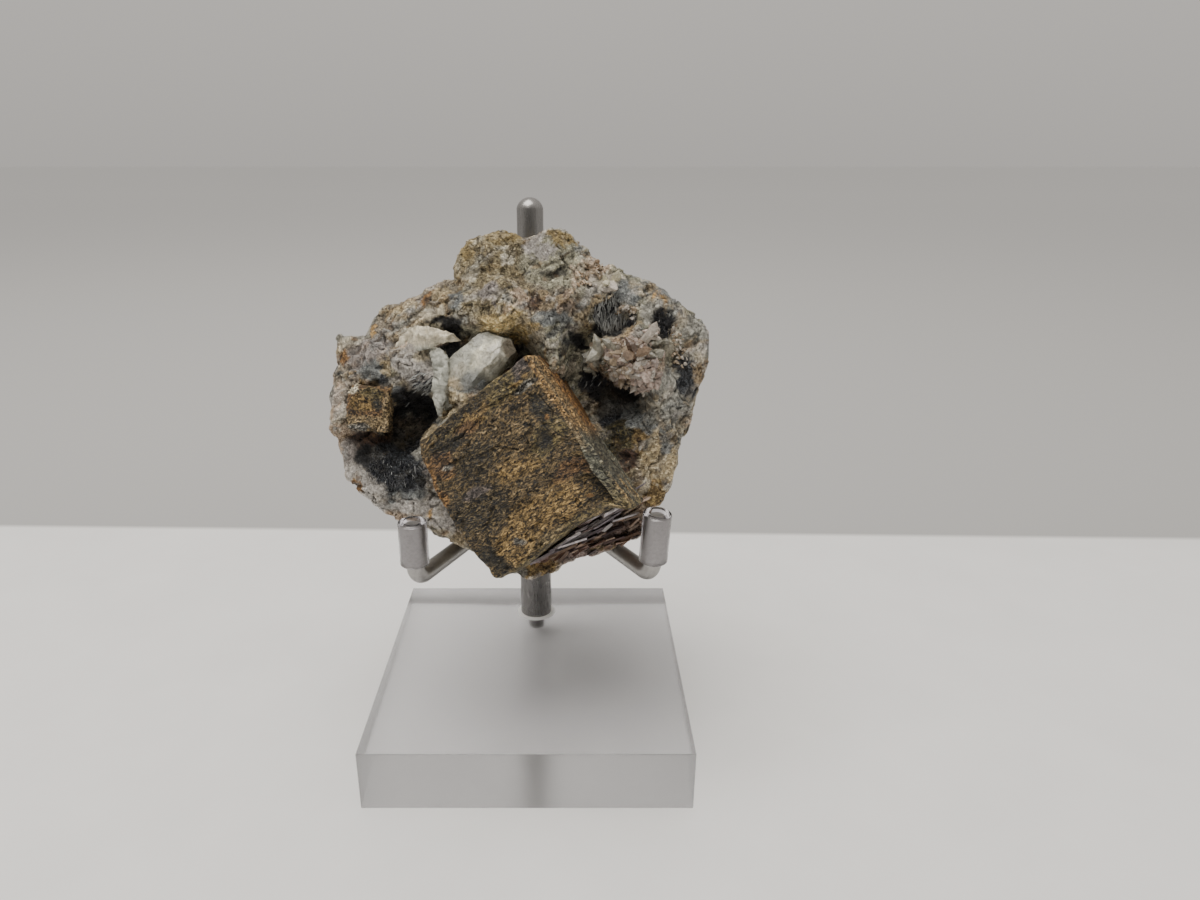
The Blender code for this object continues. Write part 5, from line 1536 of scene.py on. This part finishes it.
def make_base():
    bm = bmesh.new()
    bmesh.ops.create_cube(bm, size=1.0)
    bmesh.ops.scale(bm, vec=(BASE_SIDE, BASE_SIDE, BASE_HEIGHT - BASE_AIR), verts=bm.verts)
    bmesh.ops.translate(bm, vec=(0.0, 0.0, (BASE_HEIGHT + BASE_AIR) / 2), verts=bm.verts)
    base = object_from_bmesh("clear_base", bm, smooth=False)
    edge = base.modifiers.new("edge", "BEVEL")
    edge.width = 0.25 * MM
    edge.segments = 4
    take_modifiers(base)
    # The hole grips the stud, so that no air shows round it
    reach = STUD_RADIUS - 0.02
    low = BASE_HEIGHT - STUD_LENGTH + 0.02
    hole = turned(
        "hole", [(0.0, BASE_HEIGHT + 1.0), (reach, BASE_HEIGHT + 1.0), (reach, low), (0.0, low)],
        (0.0, POST_Y, 0.0),
    )
    step = base.modifiers.new("hole", "BOOLEAN")
    step.operation = "DIFFERENCE"
    step.object = hole
    step.solver = "EXACT"
    take_modifiers(base)
    bpy.data.objects.remove(hole, do_unlink=True)
    base.data.shade_smooth()
    base.data.set_sharp_from_angle(angle=math.radians(20.0))
    base.data.materials.clear()
    base.data.materials.append(clear_material("clear_acrylic", (211, 211, 213), 0.24, 1.49, 1.0, 0.1))
    return base


def make_post():
    foot = BASE_HEIGHT + 0.02
    chamfer = 0.35
    post = turned(
        "steel_post",
        [
            (0.0, POST_TOP - SOCKET_DEPTH), (ROD_RADIUS + 0.05, POST_TOP - SOCKET_DEPTH),
            (ROD_RADIUS + 0.05, POST_TOP), (POST_RADIUS - chamfer, POST_TOP),
            (POST_RADIUS, POST_TOP - chamfer), (POST_RADIUS, foot + chamfer),
            (POST_RADIUS - chamfer, foot), (STUD_RADIUS, foot),
            (STUD_RADIUS, BASE_HEIGHT - STUD_LENGTH), (0.0, BASE_HEIGHT - STUD_LENGTH),
        ],
        (0.0, POST_Y, 0.0),
    )
    return post


def make_rod():
    shoulder = ROD_TOP - ROD_DOME
    radius = (ROD_RADIUS**2 + ROD_DOME**2) / (2 * ROD_DOME)
    edge = math.degrees(math.asin((radius - ROD_DOME) / radius))
    dome = arc((0.0, ROD_TOP - radius), radius, 90.0, edge, 16)
    foot = POST_TOP - SOCKET_DEPTH + 0.1
    profile = [(0.0, ROD_TOP), *dome[1:-1], (ROD_RADIUS, shoulder), (ROD_RADIUS, foot), (0.0, foot)]
    rod = turned("steel_rod", profile, (0.0, POST_Y, 0.0))
    return rod


def make_collar():
    low, high = ARM_HEIGHT - COLLAR_HEIGHT / 2, ARM_HEIGHT + COLLAR_HEIGHT / 2
    chamfer = 0.5
    bore = POST_RADIUS + 0.05
    return turned(
        "steel_collar",
        [
            (bore, high), (COLLAR_RADIUS - chamfer, high), (COLLAR_RADIUS, high - chamfer),
            (COLLAR_RADIUS, low + chamfer), (COLLAR_RADIUS - chamfer, low), (bore, low), (bore, high),
        ],
        (0.0, POST_Y, 0.0),
    )


def make_arm(side):
    line = arm_line(side)
    up = (line[-1] - line[-2]).normalized()
    line = [*line[:-1], line[-1] - up * 0.2, line[-1]]
    radii = [ARM_RADIUS] * (len(line) - 1) + [ARM_RADIUS - 0.2]
    arm = swept(f"steel_arm_{side}", line, radii)
    return arm


def make_sleeve(side):
    line = arm_line(side)
    up = (line[-1] - line[-2]).normalized()
    start = line[-2] + up * (SLEEVE_START - line[-2].z) / up.z
    end = line[-1] + up * SLEEVE_RIM
    length = (end - start).length
    bore = ARM_RADIUS - 0.03
    rim = 0.35
    profile = [(bore, 0.0), (SLEEVE_RADIUS - rim, 0.0), (SLEEVE_RADIUS, rim)]
    profile += [(SLEEVE_RADIUS, length - rim)]
    profile += arc((SLEEVE_RADIUS - rim, length - rim), rim, 0.0, 90.0, 6)[1:]
    profile += [(bore, length), (bore, 0.0)]
    sleeve = turned(f"clear_sleeve_{side}", profile[::-1], (0.0, 0.0, 0.0))
    turn = up.to_track_quat("Z", "Y").to_matrix().to_4x4()
    sleeve.data.transform(Matrix.Translation(start * MM) @ turn)
    return sleeve


def make_foot_ring():
    """The pale ring of glue round the post's foot."""
    height = 0.45
    profile = [(POST_RADIUS - 0.1, BASE_HEIGHT + height)]
    profile += arc((POST_RADIUS + 0.5, BASE_HEIGHT), height, 90.0, 0.0, 6)
    profile += [(POST_RADIUS - 0.1, BASE_HEIGHT), (POST_RADIUS - 0.1, BASE_HEIGHT + height)]
    return turned("foot_ring", profile, (0.0, POST_Y, 0.0))


# The room


def make_floor():
    """A plain pale floor, which turns to the wall's grey behind the object."""
    bm = bmesh.new()
    bmesh.ops.create_grid(bm, x_segments=8, y_segments=8, size=4000.0)
    floor = object_from_bmesh("floor", bm)
    made, tree, shader = material("floor")
    across, along, _ = node(tree, "SeparateXYZ", ((0, millimetres(tree)),)).outputs
    along = maths(tree, "MULTIPLY_ADD", across, 0.025, along)
    away = ranged(tree, along, 100.0, 103.0)
    paper = grain(tree, millimetres(tree), 30.0, 3.0)
    near = ranged(tree, paper, 0.3, 0.7, 0.78, 0.82)
    distance = maths(tree, "SQRT", ranged(tree, along, 100.0, 2000.0))
    wall = ranged(tree, distance, 0.0, 1.0, 0.39, 0.58)
    shade = node(tree, "Mix", ((0, away), (2, near), (3, wall)), data_type="FLOAT").outputs[0]
    grey = node(tree, "CombineColor", ((0, shade), (1, shade), (2, maths(tree, "MULTIPLY", shade, 0.99)))
                ).outputs[0]
    put(tree, shader.inputs["Base Color"], grey)
    shader.inputs["Roughness"].default_value = 0.6
    floor.data.materials.append(made)


def area_light(name, place, size, power, colour=(1.0, 1.0, 1.0)):
    """A square light that faces the object."""
    light = bpy.data.lights.new(name, "AREA")
    light.shape = "SQUARE"
    light.size = size
    light.energy = power
    light.color = colour
    made = bpy.data.objects.new(name, light)
    bpy.context.scene.collection.objects.link(made)
    made.location = place
    aim = Vector((0.0, 0.0, 0.06)) - Vector(place)
    made.rotation_euler = aim.to_track_quat("-Z", "Y").to_euler()


def make_room():
    make_floor()
    world = bpy.data.worlds.new("room")
    bpy.context.scene.world = world
    world.use_nodes = True
    tree = world.node_tree
    way = node(tree, "SeparateXYZ", ((0, node(tree, "TexCoord").outputs["Generated"]),))
    up = ranged(tree, way.outputs[2], -0.05, 0.9, 0.48, 0.92)
    ahead = ranged(tree, way.outputs[1], -0.95, -0.2, 0.35, 1.0)
    put(tree, tree.nodes["Background"].inputs["Strength"], maths(tree, "MULTIPLY", up, ahead))
    tree.nodes["Background"].inputs["Color"].default_value = (*LIGHT_COLOUR, 1.0)
    area_light("ceiling", (-0.2, -0.15, 1.0), 0.8, 10.5, LIGHT_COLOUR)


LIGHT_COLOUR = (1.0, 0.955, 0.90)
def make_camera():
    camera = bpy.data.cameras.new("camera")
    camera.sensor_width = SENSOR_WIDTH
    camera.lens = FOCAL_PIXELS / IMAGE_WIDTH * SENSOR_WIDTH
    camera.shift_x = (IMAGE_WIDTH / 2 - PRINCIPAL_POINT[0]) / IMAGE_WIDTH
    camera.shift_y = (PRINCIPAL_POINT[1] - IMAGE_HEIGHT / 2) / IMAGE_WIDTH
    camera.clip_start = 0.01
    camera.clip_end = 20.0
    made = bpy.data.objects.new("camera", camera)
    bpy.context.scene.collection.objects.link(made)
    made.location = Vector(CAMERA_PLACE) * MM
    made.rotation_euler = (math.radians(90.0 - CAMERA_PITCH), 0.0, 0.0)
    bpy.context.scene.camera = made


def settle(piece, slot, *nodes):
    """Fixes a piece to the object and lets it stand for CAD nodes. The slot is not used."""
    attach(piece, "root")
    if nodes:
        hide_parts(*nodes)


make_camera()
make_room()

base = make_base()
let_light_through(base)
settle(base, "clear_acrylic", "acrylic_base")
# The post's and the rod's steel are darker copies of the same steel: painted shade and painted dark
# reflections.
post_steel_painted_shade = steel_material("post_steel_painted_shade", (1.0, 1.0, 0.05), (0.18, 0.25), 0.2)
rod_steel_painted_shade = steel_material("rod_steel_painted_shade", (1.0, 1.0, 0.05), (0.24, 0.34), 0.2)
turned_steel = steel_material("turned_steel", (0.3, 0.3, 1.0), (0.22, 0.3), 0.2)
for maker, node_name, finish in (
    (make_post, "post", post_steel_painted_shade), (make_rod, "back_rod", rod_steel_painted_shade),
    (make_collar, "arm_collar", turned_steel),
):
    piece = maker()
    piece.data.materials.append(finish)
    settle(piece, "steel", node_name)
vinyl = clear_material("clear_vinyl", (238, 236, 242), 0.13, 1.45, 1.0, 0.15)
for side in ARMS:
    arm = make_arm(side)
    arm.data.materials.append(steel_material(f"arm_steel_{side}", (0.2, 0.2, 0.2), (0.30, 0.40), 0.34))
    settle(arm, "steel", f"arm_{side}")
    sleeve = make_sleeve(side)
    sleeve.data.materials.append(vinyl)
    let_light_through(sleeve)
    settle(sleeve, "clear_vinyl", f"sleeve_{side}")
ring = make_foot_ring()
ring.data.materials.append(clear_material("foot_glue", (252, 252, 250), 0.5, 1.45, 0.3, 0.1))
let_light_through(ring)
settle(ring, "clear_acrylic")

rock = make_matrix()
settle(rock, "matrix_rock", "matrix")
surface = Surface(rock)
settle(make_lens(), "matrix_rock")
settle(make_blade(), "matrix_rock")
settle(make_druse(surface), "matrix_rock")
settle(make_fibres(surface), "matrix_rock")
settle(make_ledge(), "matrix_rock")
settle(make_large_cube(), "limonite", "limonite_cube_large")
settle(make_small_cube(), "limonite_pale", "limonite_cube_small")
